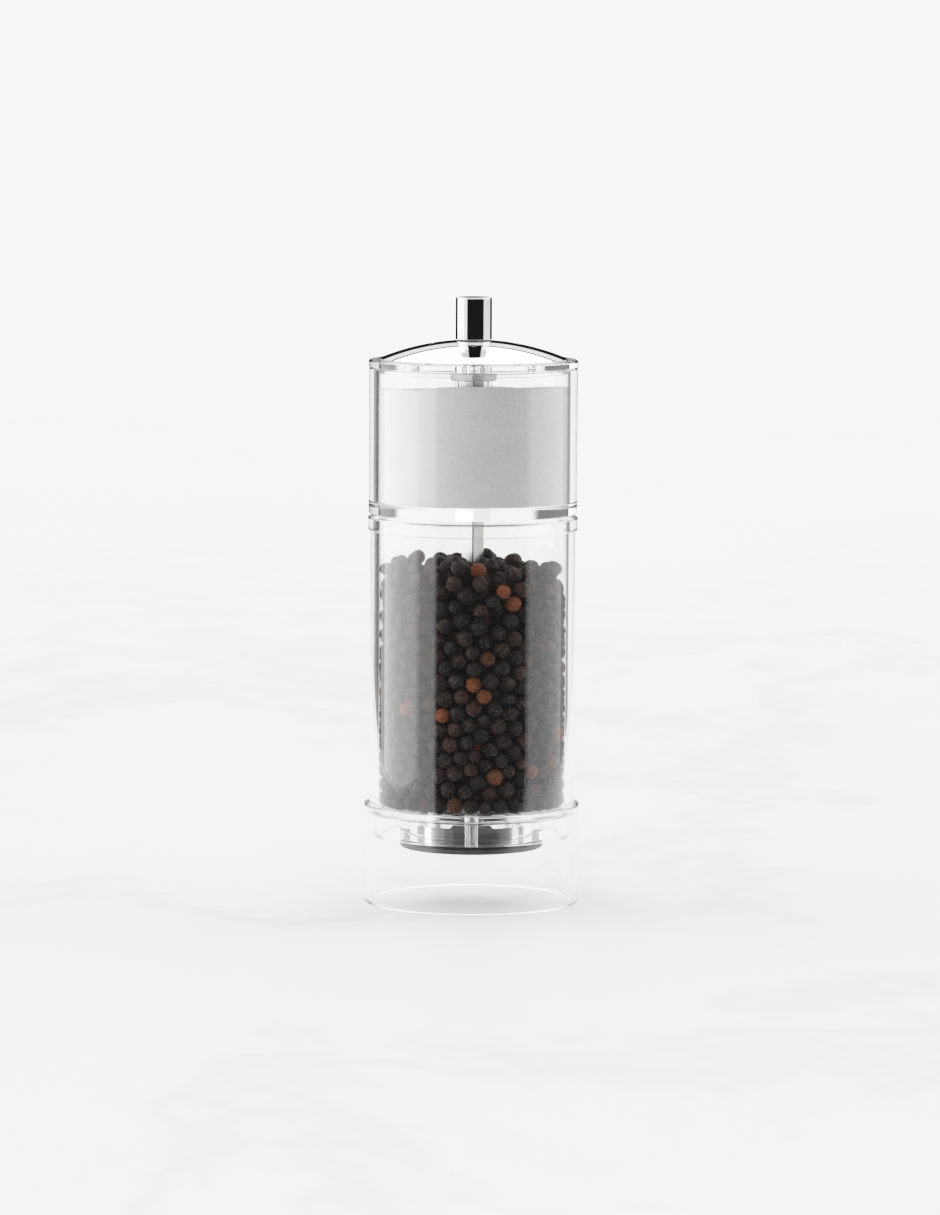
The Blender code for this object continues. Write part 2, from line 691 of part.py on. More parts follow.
def make_salt_cup(materials, body):
    """The turning head: its floor with the square drive hole, its wall and its centre tube."""
    clear = materials["clear_acrylic"]
    spigot = tube_bore - SEAM
    floor = turned(
        "salt_floor",
        outline(
            (0.0, salt_floor_bottom),
            (spigot - HEAD_SPIGOT_WALL, salt_floor_bottom),
            (spigot - HEAD_SPIGOT_WALL, salt_floor_bottom - HEAD_SPIGOT_DEPTH),
            (spigot, salt_floor_bottom - HEAD_SPIGOT_DEPTH, EDGE_FILLET),
            (spigot, salt_floor_bottom),
            (HEAD_RADIUS + SALT_FLOOR_OVERHANG, salt_floor_bottom, EDGE_FILLET),
            (HEAD_RADIUS + SALT_FLOOR_OVERHANG, salt_floor_top, EDGE_FILLET),
            (0.0, salt_floor_top),
        ),
        clear,
        body,
    )
    hole_side = SHAFT_SIDE + 2.0 * SEAM
    past = CUT_PAST
    cut(floor, square_bar("drive_hole", hole_side, salt_floor_bottom - past, salt_floor_top + past))
    turned("salt_cup", washer_points(head_bore, HEAD_RADIUS, cup_bottom, cup_top), clear, body)
    tube = washer_points(centre_bore, centre_tube_radius, cup_bottom, centre_tube_top)
    turned("centre_tube", tube, clear, body, steps=32)


def make_lid(materials, body):
    """The clear lid plate and the domed metal cap, with the shaker holes through both."""
    spigot = head_bore - SEAM
    plate = turned(
        "lid_plate",
        outline(
            (shaft_hole, boss_ceiling),
            (boss_bore, boss_ceiling),
            (boss_bore, boss_bottom),
            (boss_radius, boss_bottom, EDGE_FILLET),
            (boss_radius, lid_bottom),
            (spigot - LID_SPIGOT_WALL, lid_bottom),
            (spigot - LID_SPIGOT_WALL, lid_bottom - LID_SPIGOT_DEPTH),
            (spigot, lid_bottom - LID_SPIGOT_DEPTH, EDGE_FILLET),
            (spigot, lid_bottom),
            (HEAD_RADIUS + SALT_FLOOR_OVERHANG, lid_bottom, EDGE_FILLET),
            (HEAD_RADIUS + SALT_FLOOR_OVERHANG, lid_top, EDGE_FILLET),
            (shaft_hole, lid_top),
        ),
        materials["clear_acrylic"],
        body,
    )
    inner_sphere = dome_sphere - DOME_SHEET
    inner_rim = math.sqrt(inner_sphere**2 - (dome_bottom - dome_centre) ** 2)
    cap_outside = dome_arc(dome_sphere, DOME_RADIUS, shaft_hole)
    cap_inside = dome_arc(inner_sphere, inner_rim, shaft_hole)
    dome = turned("lid_dome", cap_outside + cap_inside[::-1], materials["chrome"], body)
    for number in range(SHAKER_HOLES):
        place = around(SHAKER_CIRCLE_RADIUS, 2.0 * math.pi * number / SHAKER_HOLES)
        top = dome_top + CUT_PAST
        hole = cylinder(f"lid_hole_{number}", LID_HOLE_RADIUS, lid_bottom - CUT_PAST, top, place, steps=12)
        cut(plate, hole)
        hole = cylinder(f"shaker_hole_{number}", SHAKER_HOLE_RADIUS, lid_bottom, top, place, steps=12)
        cut(dome, hole)


def dome_arc(sphere, outer, inner):
    """Points up a sphere about the dome's centre, from an outer to an inner radius."""
    points = []
    for step in range(DOME_STEPS + 1):
        radius = outer + (inner - outer) * step / DOME_STEPS
        points.append((radius, dome_centre + math.sqrt(sphere**2 - radius**2)))
    return points


def make_knob(materials, washer_body, knob_body):
    """The slip washer on the dome, the knob and the threaded insert pressed into it."""
    recess = KNOB_RADIUS - KNOB_SKIRT_WALL
    washer = washer_points(insert_bore, recess - SEAM, knob_washer_bottom, knob_washer_top)
    turned("knob_washer", washer, materials["nylon"], washer_body, steps=SMALL_STEPS)
    bore = insert_radius + SEAM
    turned(
        "knob_shell",
        outline(
            (recess, knob_bottom),
            (KNOB_RADIUS, knob_bottom),
            (KNOB_RADIUS, knob_top, KNOB_EDGE_FILLET),
            (0.0, knob_top),
            (0.0, knob_bore_top),
            (bore, knob_bore_top),
            (bore, knob_ceiling),
            (recess, knob_ceiling),
        ),
        materials["chrome"],
        knob_body,
        steps=48,
    )
    insert = washer_points(insert_bore, insert_radius, insert_bottom, insert_top)
    turned("knob_insert", insert, materials["brass"], knob_body, steps=SMALL_STEPS)


def make_contents(materials, pepper_body, salt_body):
    """Plain solids for the peppercorns and the salt."""
    bridge_reach = math.hypot(SCREW_CIRCLE_RADIUS + BRIDGE_FOOT_LENGTH / 2.0, BRIDGE_WIDTH / 2.0) + SEAM
    over_bridge = bush_top + SEAM
    pepper_bottom = plug_top + SEAM
    pepper = outline(
        (bridge_reach, pepper_bottom),
        (tube_bore - SEAM, pepper_bottom),
        (tube_bore - SEAM, pepper_bottom + PEPPER_FILL_HEIGHT),
        (shaft_corner + RUNNING_GAP, pepper_bottom + PEPPER_FILL_HEIGHT),
        (shaft_corner + RUNNING_GAP, over_bridge),
        (bridge_reach, over_bridge),
    )
    turned("peppercorn_fill", pepper, materials["peppercorns"], pepper_body)
    salt = washer_points(centre_tube_radius + SEAM, head_bore - SEAM, cup_bottom, cup_bottom + SALT_FILL_HEIGHT)
    turned("salt_fill", salt, materials["salt"], salt_body)


def main():
    """Build every piece on the empties that stand for the moving bodies."""
    clear_scene()
    materials = make_materials()
    mill_body = make_body("mill_body")
    turning_seat = make_body("turning_seat", mill_body)
    spindle = make_body("spindle", turning_seat)
    salt_head = make_body("salt_head", turning_seat)
    lid = make_body("lid", salt_head)
    knob_seat = make_body("knob_seat", lid)
    knob = make_body("knob", knob_seat)
    make_skirt(materials, mill_body)
    make_pepper_tube(materials, mill_body)
    make_base_plug(materials, mill_body)
    make_burr_housing(materials, mill_body)
    make_burrs(materials, mill_body, spindle)
    make_grinder_plate(materials, mill_body)
    make_screws(materials, mill_body)
    make_bridge(materials, mill_body)
    make_thrust_parts(materials, turning_seat)
    make_shaft(materials, spindle)
    make_clip(materials, spindle)
    make_salt_cup(materials, salt_head)
    make_lid(materials, lid)
    make_knob(materials, knob_seat, knob)
    make_contents(materials, mill_body, salt_head)


main()
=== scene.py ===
"""Looks of a clear table mill: a salt shaker standing on a pepper mill.

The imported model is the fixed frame. The classes below make the mill's sub-assemblies round that frame,
with fine meshes in the places and sizes that the frame gives. Metres, +Z up, the front towards -Y.
"""

import logging
import math
from collections.abc import Sequence
from dataclasses import dataclass
from enum import Enum

import bmesh
import bpy
import numpy as np
from mathutils import Matrix, Vector, noise


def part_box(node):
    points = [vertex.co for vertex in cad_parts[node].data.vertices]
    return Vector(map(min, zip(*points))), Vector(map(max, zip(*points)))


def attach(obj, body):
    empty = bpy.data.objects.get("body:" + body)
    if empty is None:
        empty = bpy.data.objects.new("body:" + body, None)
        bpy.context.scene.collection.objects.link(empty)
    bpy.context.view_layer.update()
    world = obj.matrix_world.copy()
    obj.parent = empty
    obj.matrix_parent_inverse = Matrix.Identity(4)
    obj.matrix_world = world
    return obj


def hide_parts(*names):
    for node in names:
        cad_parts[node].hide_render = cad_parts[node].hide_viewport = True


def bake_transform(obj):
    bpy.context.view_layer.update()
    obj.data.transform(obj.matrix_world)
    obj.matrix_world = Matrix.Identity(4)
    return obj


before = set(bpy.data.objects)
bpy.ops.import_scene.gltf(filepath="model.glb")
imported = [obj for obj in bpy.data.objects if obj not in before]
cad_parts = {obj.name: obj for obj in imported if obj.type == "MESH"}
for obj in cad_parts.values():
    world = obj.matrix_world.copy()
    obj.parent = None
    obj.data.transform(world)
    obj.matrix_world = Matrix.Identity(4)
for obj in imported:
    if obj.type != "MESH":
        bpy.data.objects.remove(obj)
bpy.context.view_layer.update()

LOG = logging.getLogger("mill")
MM = 0.001
FULL_TURN = 2.0 * math.pi
SEAT = 0.04 * MM  # the fine gap between pieces that are bonded or clamped together
FINE_STEPS = 192  # facets round a large turned piece
SMALL_STEPS = 96  # facets round a small turned piece
FILLET_STEPS = 5
TUBE_BORE = 24.4 * MM  # of the pepper tube, which the plug and the head's floor fit into
THREAD_PITCH = 0.7 * MM  # of the shaft's and the knob's thread

Socket = bpy.types.NodeSocket
Corner = tuple[float, ...]
Outline = list[tuple[float, float]]


# --------------------------------------------------------------------------------------------------
# Node trees


class NodeSheet:
    """Lays out a shader or geometry node tree, one node for each call."""

    def __init__(self, tree: bpy.types.NodeTree) -> None:
        """Start on a tree.

        Args:
            tree: The node tree that the nodes go into.
        """
        self.tree = tree

    def add(self, kind: str, inputs: dict | None = None, **settings: object) -> bpy.types.Node:
        """Add one node.

        Args:
            kind: The node's type name.
            inputs: A value or a socket for each input, by the input's name or number.
            settings: The node's own properties.

        Returns:
            The new node.
        """
        node = self.tree.nodes.new(kind)
        for name, value in settings.items():
            setattr(node, name, value)
        for key, value in (inputs or {}).items():
            self.feed(node.inputs[key], value)
        return node

    def feed(self, socket: Socket, value: object) -> None:
        """Link a socket to an input, or give the input a value."""
        if isinstance(value, Socket):
            self.tree.links.new(value, socket)
        else:
            socket.default_value = value

    def math(self, operation: str, first: object, second: object = 0.0) -> Socket:
        """Add a Math node.

        Args:
            operation: The node's operation.
            first: Its first value or socket.
            second: Its second value or socket.

        Returns:
            The result's socket.
        """
        return self.add("ShaderNodeMath", {0: first, 1: second}, operation=operation).outputs[0]

    def scaled(self, vector: object, factor: object) -> Socket:
        """Scale a vector, and return the result's socket."""
        return self.add("ShaderNodeVectorMath", {0: vector, "Scale": factor}, operation="SCALE").outputs[0]

    def random_vector(self, low: float, high: float, seed: object) -> Socket:
        """Draw a vector for each instance.

        Args:
            low: The least value of each part.
            high: The greatest value of each part.
            seed: The seed or its socket.

        Returns:
            The vector's socket.
        """
        inputs = {0: (low,) * 3, 1: (high,) * 3, "Seed": seed}
        return self.add("FunctionNodeRandomValue", inputs, data_type="FLOAT_VECTOR").outputs[0]

    def remap(self, value: object, start: float, end: float, low: float, high: float) -> Socket:
        """Carry a value smoothly from low at start to high at end.

        Args:
            value: The value or socket to remap.
            start: Where the change starts.
            end: Where the change ends.
            low: The result at start.
            high: The result at end.

        Returns:
            The result's socket.
        """
        inputs = {"Value": value, "From Min": start, "From Max": end, "To Min": low, "To Max": high}
        return self.add("ShaderNodeMapRange", inputs, interpolation_type="SMOOTHSTEP").outputs[0]

    def ramp(self, factor: Socket, stops: Sequence[tuple[float, tuple]]) -> Socket:
        """Add a Color Ramp.

        Args:
            factor: The socket that drives it.
            stops: Position and RGB colour of each stop, in order.

        Returns:
            The colour's socket.
        """
        node = self.add("ShaderNodeValToRGB", {0: factor})
        elements = node.color_ramp.elements
        elements.remove(elements[1])
        elements[0].position = stops[0][0]
        elements[0].color = (*stops[0][1], 1.0)
        for position, color in stops[1:]:
            elements.new(position).color = (*color, 1.0)
        return node.outputs[0]

    def blend(self, factor: object, first: object, second: object, mode: str = "MIX") -> Socket:
        """Mix two colours.

        Args:
            factor: Share of the second colour.
            first: The first colour or socket.
            second: The second colour or socket.
            mode: The blend mode.

        Returns:
            The colour's socket.
        """
        node = self.add("ShaderNodeMix", data_type="RGBA", blend_type=mode)
        self.feed(node.inputs[0], factor)
        self.feed(node.inputs[6], first)
        self.feed(node.inputs[7], second)
        return node.outputs[2]


class GeometryRecipe:
    """A Geometry Nodes tree with named inputs, which ends in realised geometry with its material set."""

    def __init__(self, name: str) -> None:
        """Start an empty recipe.

        Args:
            name: The tree's name.
        """
        tree = bpy.data.node_groups.new(name, "GeometryNodeTree")
        tree.interface.new_socket(name="Geometry", in_out="OUTPUT", socket_type="NodeSocketGeometry")
        tree.interface.new_socket(name="Geometry", in_out="INPUT", socket_type="NodeSocketGeometry")
        self.sheet = NodeSheet(tree)
        self.start = self.sheet.add("NodeGroupInput")
        self.values: dict[str, object] = {}

    def size(self, name: str, value: object, kind: str = "NodeSocketFloat") -> Socket:
        """Give the tree a named input.

        Args:
            name: The input's name.
            value: The value that the modifier passes in.
            kind: The socket's type.

        Returns:
            The socket to link inside the tree.
        """
        item = self.sheet.tree.interface.new_socket(name=name, in_out="INPUT", socket_type=kind)
        self.values[item.identifier] = value
        return self.start.outputs[name]

    def grow(self, base: bpy.types.Mesh, result: Socket, finish: "Finish") -> bpy.types.Mesh:
        """Close the tree, run it on a base mesh and keep the plain mesh that it gives.

        Args:
            base: The mesh that goes in.
            result: The geometry socket of the last shaping node.
            finish: The finish that the tree sets.

        Returns:
            A mesh with no modifier left on it.
        """
        sheet = self.sheet
        paint = self.size("Finish", finish.material(), "NodeSocketMaterial")
        real = sheet.add("GeometryNodeRealizeInstances", {0: result})
        painted = sheet.add("GeometryNodeSetMaterial", {"Geometry": real.outputs[0], "Material": paint})
        sheet.add("NodeGroupOutput", {0: painted.outputs[0]})
        holder = bpy.data.objects.new(sheet.tree.name, base)
        bpy.context.scene.collection.objects.link(holder)
        modifier = holder.modifiers.new(sheet.tree.name, "NODES")
        modifier.node_group = sheet.tree
        for identifier, value in self.values.items():
            modifier[identifier] = value
        return plain_mesh(holder)


def plain_mesh(holder: bpy.types.Object) -> bpy.types.Mesh:
    """Evaluate an object, keep its mesh and remove the object.

    Args:
        holder: An object with modifiers.

    Returns:
        The evaluated mesh.
    """
    graph = bpy.context.evaluated_depsgraph_get()
    graph.update()
    mesh = bpy.data.meshes.new_from_object(
        holder.evaluated_get(graph), preserve_all_data_layers=True, depsgraph=graph
    )
    bpy.data.objects.remove(holder, do_unlink=True)
    return mesh


# --------------------------------------------------------------------------------------------------
# Finishes


@dataclass(frozen=True)
class Finish:
    """A surface finish, made once as a material."""

    name: str
    slot: str

    def material(self) -> bpy.types.Material:
        """Return the finish's material, and make it the first time."""
        if self not in MADE:
            made = bpy.data.materials.new(self.name)
            made.use_nodes = True
            self.paint(NodeSheet(made.node_tree), made.node_tree.nodes["Principled BSDF"])
            MADE[self] = made
        return MADE[self]

    def paint(self, sheet: NodeSheet, shader: bpy.types.Node) -> None:
        """Lay out the finish's nodes round the Principled shader."""
        raise NotImplementedError

    def grain(
        self, sheet: NodeSheet, scale: float, stretch: tuple = (1.0, 1.0, 1.0), detail: float = 4.0
    ) -> Socket:
        """Add a noise on the piece's own coordinates.

        Args:
            sheet: The material's sheet.
            scale: Noise cells in a metre.
            stretch: How the coordinates are scaled first, for grain that runs one way.
            detail: Octaves of the noise.

        Returns:
            The noise's value socket.
        """
        place = sheet.add("ShaderNodeTexCoord").outputs["Object"]
        drawn = sheet.add("ShaderNodeMapping", {"Vector": place, "Scale": stretch}).outputs[0]
        noisy = {"Vector": drawn, "Scale": scale, "Detail": detail}
        return sheet.add("ShaderNodeTexNoise", noisy).outputs[0]

    def relief(
        self, sheet: NodeSheet, shader: bpy.types.Node, height: Socket, depth: float, strength: float
    ) -> None:
        """Drive the shader's normal with a height.

        Args:
            sheet: The material's sheet.
            shader: The Principled shader.
            height: The height's socket.
            depth: The height in metres of a value of 1.
            strength: The bump's strength.
        """
        bump = sheet.add("ShaderNodeBump", {"Strength": strength, "Distance": depth, "Height": height})
        sheet.feed(shader.inputs["Normal"], bump.outputs[0])


@dataclass(frozen=True)
class ClearAcrylic(Finish):
    """Clear moulded acrylic, with the faint flow marks of moulding."""

    ior: float = 1.49
    frost: float = 0.0  # roughness of a surface that the mould left matt
    tint: tuple = (0.985, 0.988, 0.993)
    shade: float = 0.955  # light that one surface lets through to what stands behind it

    def paint(self, sheet: NodeSheet, shader: bpy.types.Node) -> None:
        """Lay out clear acrylic that lets the lamps' light through."""
        flow = self.grain(sheet, 55.0, (1.0, 1.0, 0.35), 2.0)
        tint = sheet.ramp(flow, [(0.3, self.tint), (0.7, (0.995, 0.995, 0.993))])
        sheet.feed(shader.inputs["Base Color"], tint)
        sheet.feed(shader.inputs["Roughness"], sheet.remap(flow, 0.35, 0.75, self.frost, self.frost + 0.012))
        shader.inputs["IOR"].default_value = self.ior
        shader.inputs["Transmission Weight"].default_value = 1.0
        self.relief(sheet, shader, flow, 0.02 * MM, 0.12)
        path = sheet.add("ShaderNodeLightPath").outputs
        clear = sheet.add("ShaderNodeBsdfTransparent", {"Color": (*(self.shade,) * 3, 1.0)}).outputs[0]
        surface = shader.outputs[0]
        for ray in ("Is Diffuse Ray", "Is Shadow Ray"):
            surface = sheet.add("ShaderNodeMixShader", {0: path[ray], 1: surface, 2: clear}).outputs[0]
        sheet.feed(sheet.tree.nodes["Material Output"].inputs["Surface"], surface)


class Brushing(Enum):
    """The way that the fine lines of a metal run: as scales of X, Y and Z."""

    NONE = (1.0, 1.0, 1.0)
    ALONG = (1.0, 1.0, 0.02)
    ROUND = (0.06, 0.06, 1.0)


@dataclass(frozen=True)
class Metal(Finish):
    """Polished, plated or brushed metal."""

    color: tuple
    roughness: float
    brushing: Brushing = Brushing.NONE
    line_size: float = 0.12 * MM
    line_depth: float = 0.004 * MM
    smudge: float = 0.03  # how much handling changes the roughness

    def paint(self, sheet: NodeSheet, shader: bpy.types.Node) -> None:
        """Lay out a metal with its lines, its stains and its worn spots."""
        lines = self.grain(sheet, 1.0 / self.line_size, self.brushing.value, 3.0)
        stains = self.grain(sheet, 140.0, (1.0, 1.0, 0.6), 5.0)
        dull = tuple(0.86 * part for part in self.color)
        sheet.feed(shader.inputs["Base Color"], sheet.ramp(stains, [(0.3, dull), (0.6, self.color)]))
        rough = sheet.remap(stains, 0.3, 0.75, self.roughness, self.roughness + self.smudge)
        sheet.feed(shader.inputs["Roughness"], rough)
        shader.inputs["Metallic"].default_value = 1.0
        self.relief(sheet, shader, lines, self.line_depth, 0.5)


@dataclass(frozen=True)
class Moulded(Finish):
    """Opaque moulded plastic or fired ceramic."""

    color: tuple
    roughness: float
    texture_size: float = 0.25 * MM
    texture_depth: float = 0.02 * MM
    mottle: float = 0.25  # how much darker the deepest spots are

    def paint(self, sheet: NodeSheet, shader: bpy.types.Node) -> None:
        """Lay out a body colour with fine texture and slight mottling."""
        texture = self.grain(sheet, 1.0 / self.texture_size, detail=5.0)
        cloud = self.grain(sheet, 260.0, detail=3.0)
        deep = tuple((1.0 - self.mottle) * part for part in self.color)
        sheet.feed(shader.inputs["Base Color"], sheet.ramp(cloud, [(0.3, deep), (0.7, self.color)]))
        rough = sheet.remap(texture, 0.2, 0.8, self.roughness - 0.06, self.roughness + 0.1)
        sheet.feed(shader.inputs["Roughness"], rough)
        self.relief(sheet, shader, texture, self.texture_depth, 0.6)


@dataclass(frozen=True)
class PeppercornSkin(Finish):
    """The wrinkled skin of dried black pepper, in its range from black to orange brown."""

    wrinkle: float = 0.95 * MM
    wrinkle_depth: float = 0.3 * MM

    def paint(self, sheet: NodeSheet, shader: bpy.types.Node) -> None:
        """Lay out net-like ridges over a colour that changes from corn to corn."""
        place = sheet.add("ShaderNodeTexCoord").outputs["Object"]
        drift = sheet.add("ShaderNodeTexNoise", {"Vector": place, "Scale": 900.0, "Detail": 2.0}).outputs[1]
        moved = sheet.scaled(drift, 0.9 * MM)
        bent = sheet.add("ShaderNodeVectorMath", {0: place, 1: moved}, operation="ADD").outputs[0]
        cells = sheet.add(
            "ShaderNodeTexVoronoi", {"Vector": bent, "Scale": 1.0 / self.wrinkle}, feature="DISTANCE_TO_EDGE"
        ).outputs["Distance"]
        ridge = sheet.remap(cells, 0.0, 0.24, 1.0, 0.0)
        fine = sheet.add("ShaderNodeTexNoise", {"Vector": place, "Scale": 4200.0, "Detail": 3.0}).outputs[0]
        tint = sheet.add("ShaderNodeAttribute", attribute_name="tint").outputs["Fac"]
        skin = sheet.ramp(
            tint,
            [
                (0.0, (0.004, 0.003, 0.0035)),
                (0.5, (0.007, 0.0045, 0.0045)),
                (0.74, (0.015, 0.007, 0.0045)),
                (0.9, (0.035, 0.014, 0.006)),
                (0.965, (0.065, 0.024, 0.009)),
                (1.0, (0.27, 0.072, 0.02)),
            ],
        )
        # The ridges are painted lighter in patches: partly the dust that dried pepper has on its ridges,
        # partly a painted highlight where light catches the ridges.
        ridge_dust_and_highlight = sheet.blend(0.5, skin, (0.12, 0.062, 0.036, 1.0))
        patches = sheet.add("ShaderNodeTexNoise", {"Vector": place, "Scale": 260.0}).outputs[0]
        worn = sheet.remap(patches, 0.5, 0.66, 0.06, 1.0)
        skin_with_ridge_dust_and_highlight = sheet.blend(sheet.math("MULTIPLY", ridge, worn), skin, ridge_dust_and_highlight)
        mottled = sheet.ramp(fine, [(0.35, (0.35, 0.33, 0.32)), (0.62, (1.3, 1.25, 1.2))])
        sheet.feed(shader.inputs["Base Color"], sheet.blend(1.0, skin_with_ridge_dust_and_highlight, mottled, "MULTIPLY"))
        sheet.feed(shader.inputs["Roughness"], sheet.remap(ridge, 0.0, 1.0, 0.7, 0.5))
        shader.inputs["Specular IOR Level"].default_value = 0.25
        height = sheet.math("ADD", ridge, sheet.math("MULTIPLY", fine, 0.35))
        self.relief(sheet, shader, height, self.wrinkle_depth, 0.9)


@dataclass(frozen=True)
class SaltGrain(Finish):
    """Fine white salt."""

    grain_size: float = 0.3 * MM

    def paint(self, sheet: NodeSheet, shader: bpy.types.Node) -> None:
        """Lay out a white body with grains that differ a little in brightness."""
        place = sheet.add("ShaderNodeTexCoord").outputs["Object"]
        cells = sheet.add("ShaderNodeTexVoronoi", {"Vector": place, "Scale": 1.0 / self.grain_size})
        shade = sheet.add("ShaderNodeSeparateColor", {0: cells.outputs["Color"]}).outputs[0]
        white = sheet.ramp(shade, [(0.0, (0.8, 0.81, 0.815)), (1.0, (0.93, 0.935, 0.94))])
        banks = self.grain(sheet, 90.0, detail=3.0)
        soft = sheet.ramp(banks, [(0.35, (0.93, 0.935, 0.94)), (0.65, (1.0, 1.0, 1.0))])
        sheet.feed(shader.inputs["Base Color"], sheet.blend(1.0, white, soft, "MULTIPLY"))
        sheet.feed(shader.inputs["Roughness"], sheet.remap(shade, 0.0, 1.0, 0.55, 0.95))
        shader.inputs["Subsurface Weight"].default_value = 0.35
        shader.inputs["Subsurface Radius"].default_value = (1.0, 1.0, 1.0)
        shader.inputs["Subsurface Scale"].default_value = 0.8 * MM
        self.relief(sheet, shader, cells.outputs["Distance"], 0.1 * MM, 0.7)


@dataclass(frozen=True)
class PaleMarble(Finish):
    """The table: honed white marble with faint grey veins, which fades out at its edges."""

    half_width: float = 0.46
    front: float = -0.52
    back: float = 1.85
    fade: float = 0.16
    black_card: float = 0.39  # how far in from the front a card keeps the table out of reflections
    side_card: float = 0.19  # and how far in from the sides
    painted_far_light: float = 0.9  # share of near-white painted into the stone towards the back: painted light from the lit backdrop

    def paint(self, sheet: NodeSheet, shader: bpy.types.Node) -> None:
        """Lay out the stone and the soft fade of its edges."""
        place = sheet.add("ShaderNodeTexCoord").outputs["Object"]
        slanted = sheet.add(
            "ShaderNodeMapping", {"Vector": place, "Rotation": (0.0, 0.0, 0.5), "Scale": (1.0, 0.55, 1.0)}
        ).outputs[0]
        drift = sheet.add("ShaderNodeTexNoise", {"Vector": slanted, "Scale": 3.2, "Detail": 5.0}).outputs[1]
        bent = sheet.scaled(drift, 0.5)
        led = sheet.add("ShaderNodeVectorMath", {0: slanted, 1: bent}, operation="ADD").outputs[0]
        vein = {"Vector": led, "Scale": 4.5, "Detail": 7.0, "Roughness": 0.6}
        veins = sheet.add("ShaderNodeTexNoise", vein).outputs[0]
        ridge = sheet.math("ABSOLUTE", sheet.math("SUBTRACT", veins, 0.5))
        stone = sheet.ramp(
            ridge, [(0.0, (0.74, 0.745, 0.755)), (0.04, (0.84, 0.842, 0.848)), (0.2, (0.875, 0.876, 0.878))]
        )
        across, along, _ = sheet.add("ShaderNodeSeparateXYZ", {0: place}).outputs
        # Painted light: the stone is painted paler towards the back, where the backdrop's light falls on the
        # table.
        painted_far_light_share = sheet.remap(along, 0.1, 1.5, 0.0, self.painted_far_light)
        sheet.feed(shader.inputs["Base Color"], sheet.blend(painted_far_light_share, stone, (0.99, 0.99, 0.99, 1.0)))
        sheet.feed(shader.inputs["Roughness"], sheet.remap(veins, 0.3, 0.7, 0.42, 0.5))
        shader.inputs["Specular IOR Level"].default_value = 0.08
        unseen = sheet.math("SUBTRACT", 1.0, sheet.add("ShaderNodeLightPath").outputs["Is Camera Ray"])
        near = sheet.math("ADD", self.front, sheet.math("MULTIPLY", unseen, self.black_card))
        width = sheet.math("SUBTRACT", self.half_width, sheet.math("MULTIPLY", unseen, self.side_card))
        side = sheet.math("SUBTRACT", width, sheet.math("ABSOLUTE", across))
        behind = sheet.math("SUBTRACT", self.back, along)
        ends = sheet.math("MINIMUM", sheet.math("SUBTRACT", along, near), behind)
        soft = sheet.math("SUBTRACT", self.fade, sheet.math("MULTIPLY", unseen, 0.8 * self.fade))
        edge = sheet.remap(sheet.math("DIVIDE", sheet.math("MINIMUM", side, ends), soft), 0.0, 1.0, 0.0, 1.0)
        clear = sheet.add("ShaderNodeBsdfTransparent").outputs[0]
        mixed = sheet.add("ShaderNodeMixShader", {0: edge, 1: clear, 2: shader.outputs[0]})
        sheet.feed(sheet.tree.nodes["Material Output"].inputs["Surface"], mixed.outputs[0])


MADE: dict[Finish, bpy.types.Material] = {}

ACRYLIC = ClearAcrylic("cast_acrylic", "clear_acrylic")
SLEEVE_ACRYLIC = ClearAcrylic("extruded_acrylic", "clear_acrylic", frost=0.1)
FROSTED_ACRYLIC = ClearAcrylic("frosted_acrylic", "clear_acrylic", frost=0.42)
CHROME = Metal("polished_chrome", "chrome", (0.8, 0.79, 0.77), 0.02, line_depth=0.0006 * MM, smudge=0.02)
SHAFT_METAL = Metal("drawn_aluminium", "shaft_metal", (0.52, 0.515, 0.5), 0.17, Brushing.ALONG, 0.1 * MM)
STEEL = Metal("bright_steel", "steel", (0.58, 0.58, 0.57), 0.25, Brushing.ROUND)
SPRING_STEEL = Metal("spring_steel", "steel", (0.5, 0.5, 0.49), 0.3, smudge=0.08)
BRASS = Metal("turned_brass", "brass", (0.76, 0.58, 0.28), 0.22, Brushing.ROUND)
CERAMIC = Moulded("burr_ceramic", "burr_ceramic", (0.1, 0.1, 0.107), 0.5)
DARK_PLASTIC = Moulded(
    "dark_plate_plastic", "plate_plastic", (0.034, 0.033, 0.034), 0.45, 0.35 * MM, 0.012 * MM
)
NYLON = Moulded("natural_nylon", "nylon", (0.84, 0.835, 0.8), 0.42, 0.4 * MM, 0.01 * MM, 0.08)
PEPPER = PeppercornSkin("black_peppercorns", "peppercorns")
SALT = SaltGrain("fine_salt", "salt")


# --------------------------------------------------------------------------------------------------
# Shapes


@dataclass(frozen=True)
class Span:
    """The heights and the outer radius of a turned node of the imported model."""

    bottom: float
    top: float
    radius: float

    @classmethod
    def of(cls, node: str) -> "Span":
        """Measure a node that is centred on the mill's axis."""
        low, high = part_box(node)
        return cls(low.z, high.z, high.x)


def outline(*corners: Corner) -> Outline:
    """Round the corners of a closed outline.

    Args:
        corners: (radius, height) or (radius, height, fillet) of each corner, in order.

    Returns:
        The outline's points.
    """
    points = []
    for index, corner in enumerate(corners):
        here = Vector(corner[:2])
        fillet = corner[2] if len(corner) == 3 else 0.0
        if fillet <= 0.0:
            points.append(here)
            continue
        before = (Vector(corners[index - 1][:2]) - here).normalized()
        after = (Vector(corners[(index + 1) % len(corners)][:2]) - here).normalized()
        half = before.angle(after) / 2.0
        centre = here + (before + after).normalized() * (fillet / math.sin(half))
        start = here + before * (fillet / math.tan(half)) - centre
        turn = start.angle_signed(here + after * (fillet / math.tan(half)) - centre)
        for step in range(FILLET_STEPS + 1):
            points.append(centre + Matrix.Rotation(-turn * step / FILLET_STEPS, 2) @ start)
    return [(point.x, point.y) for point in points]


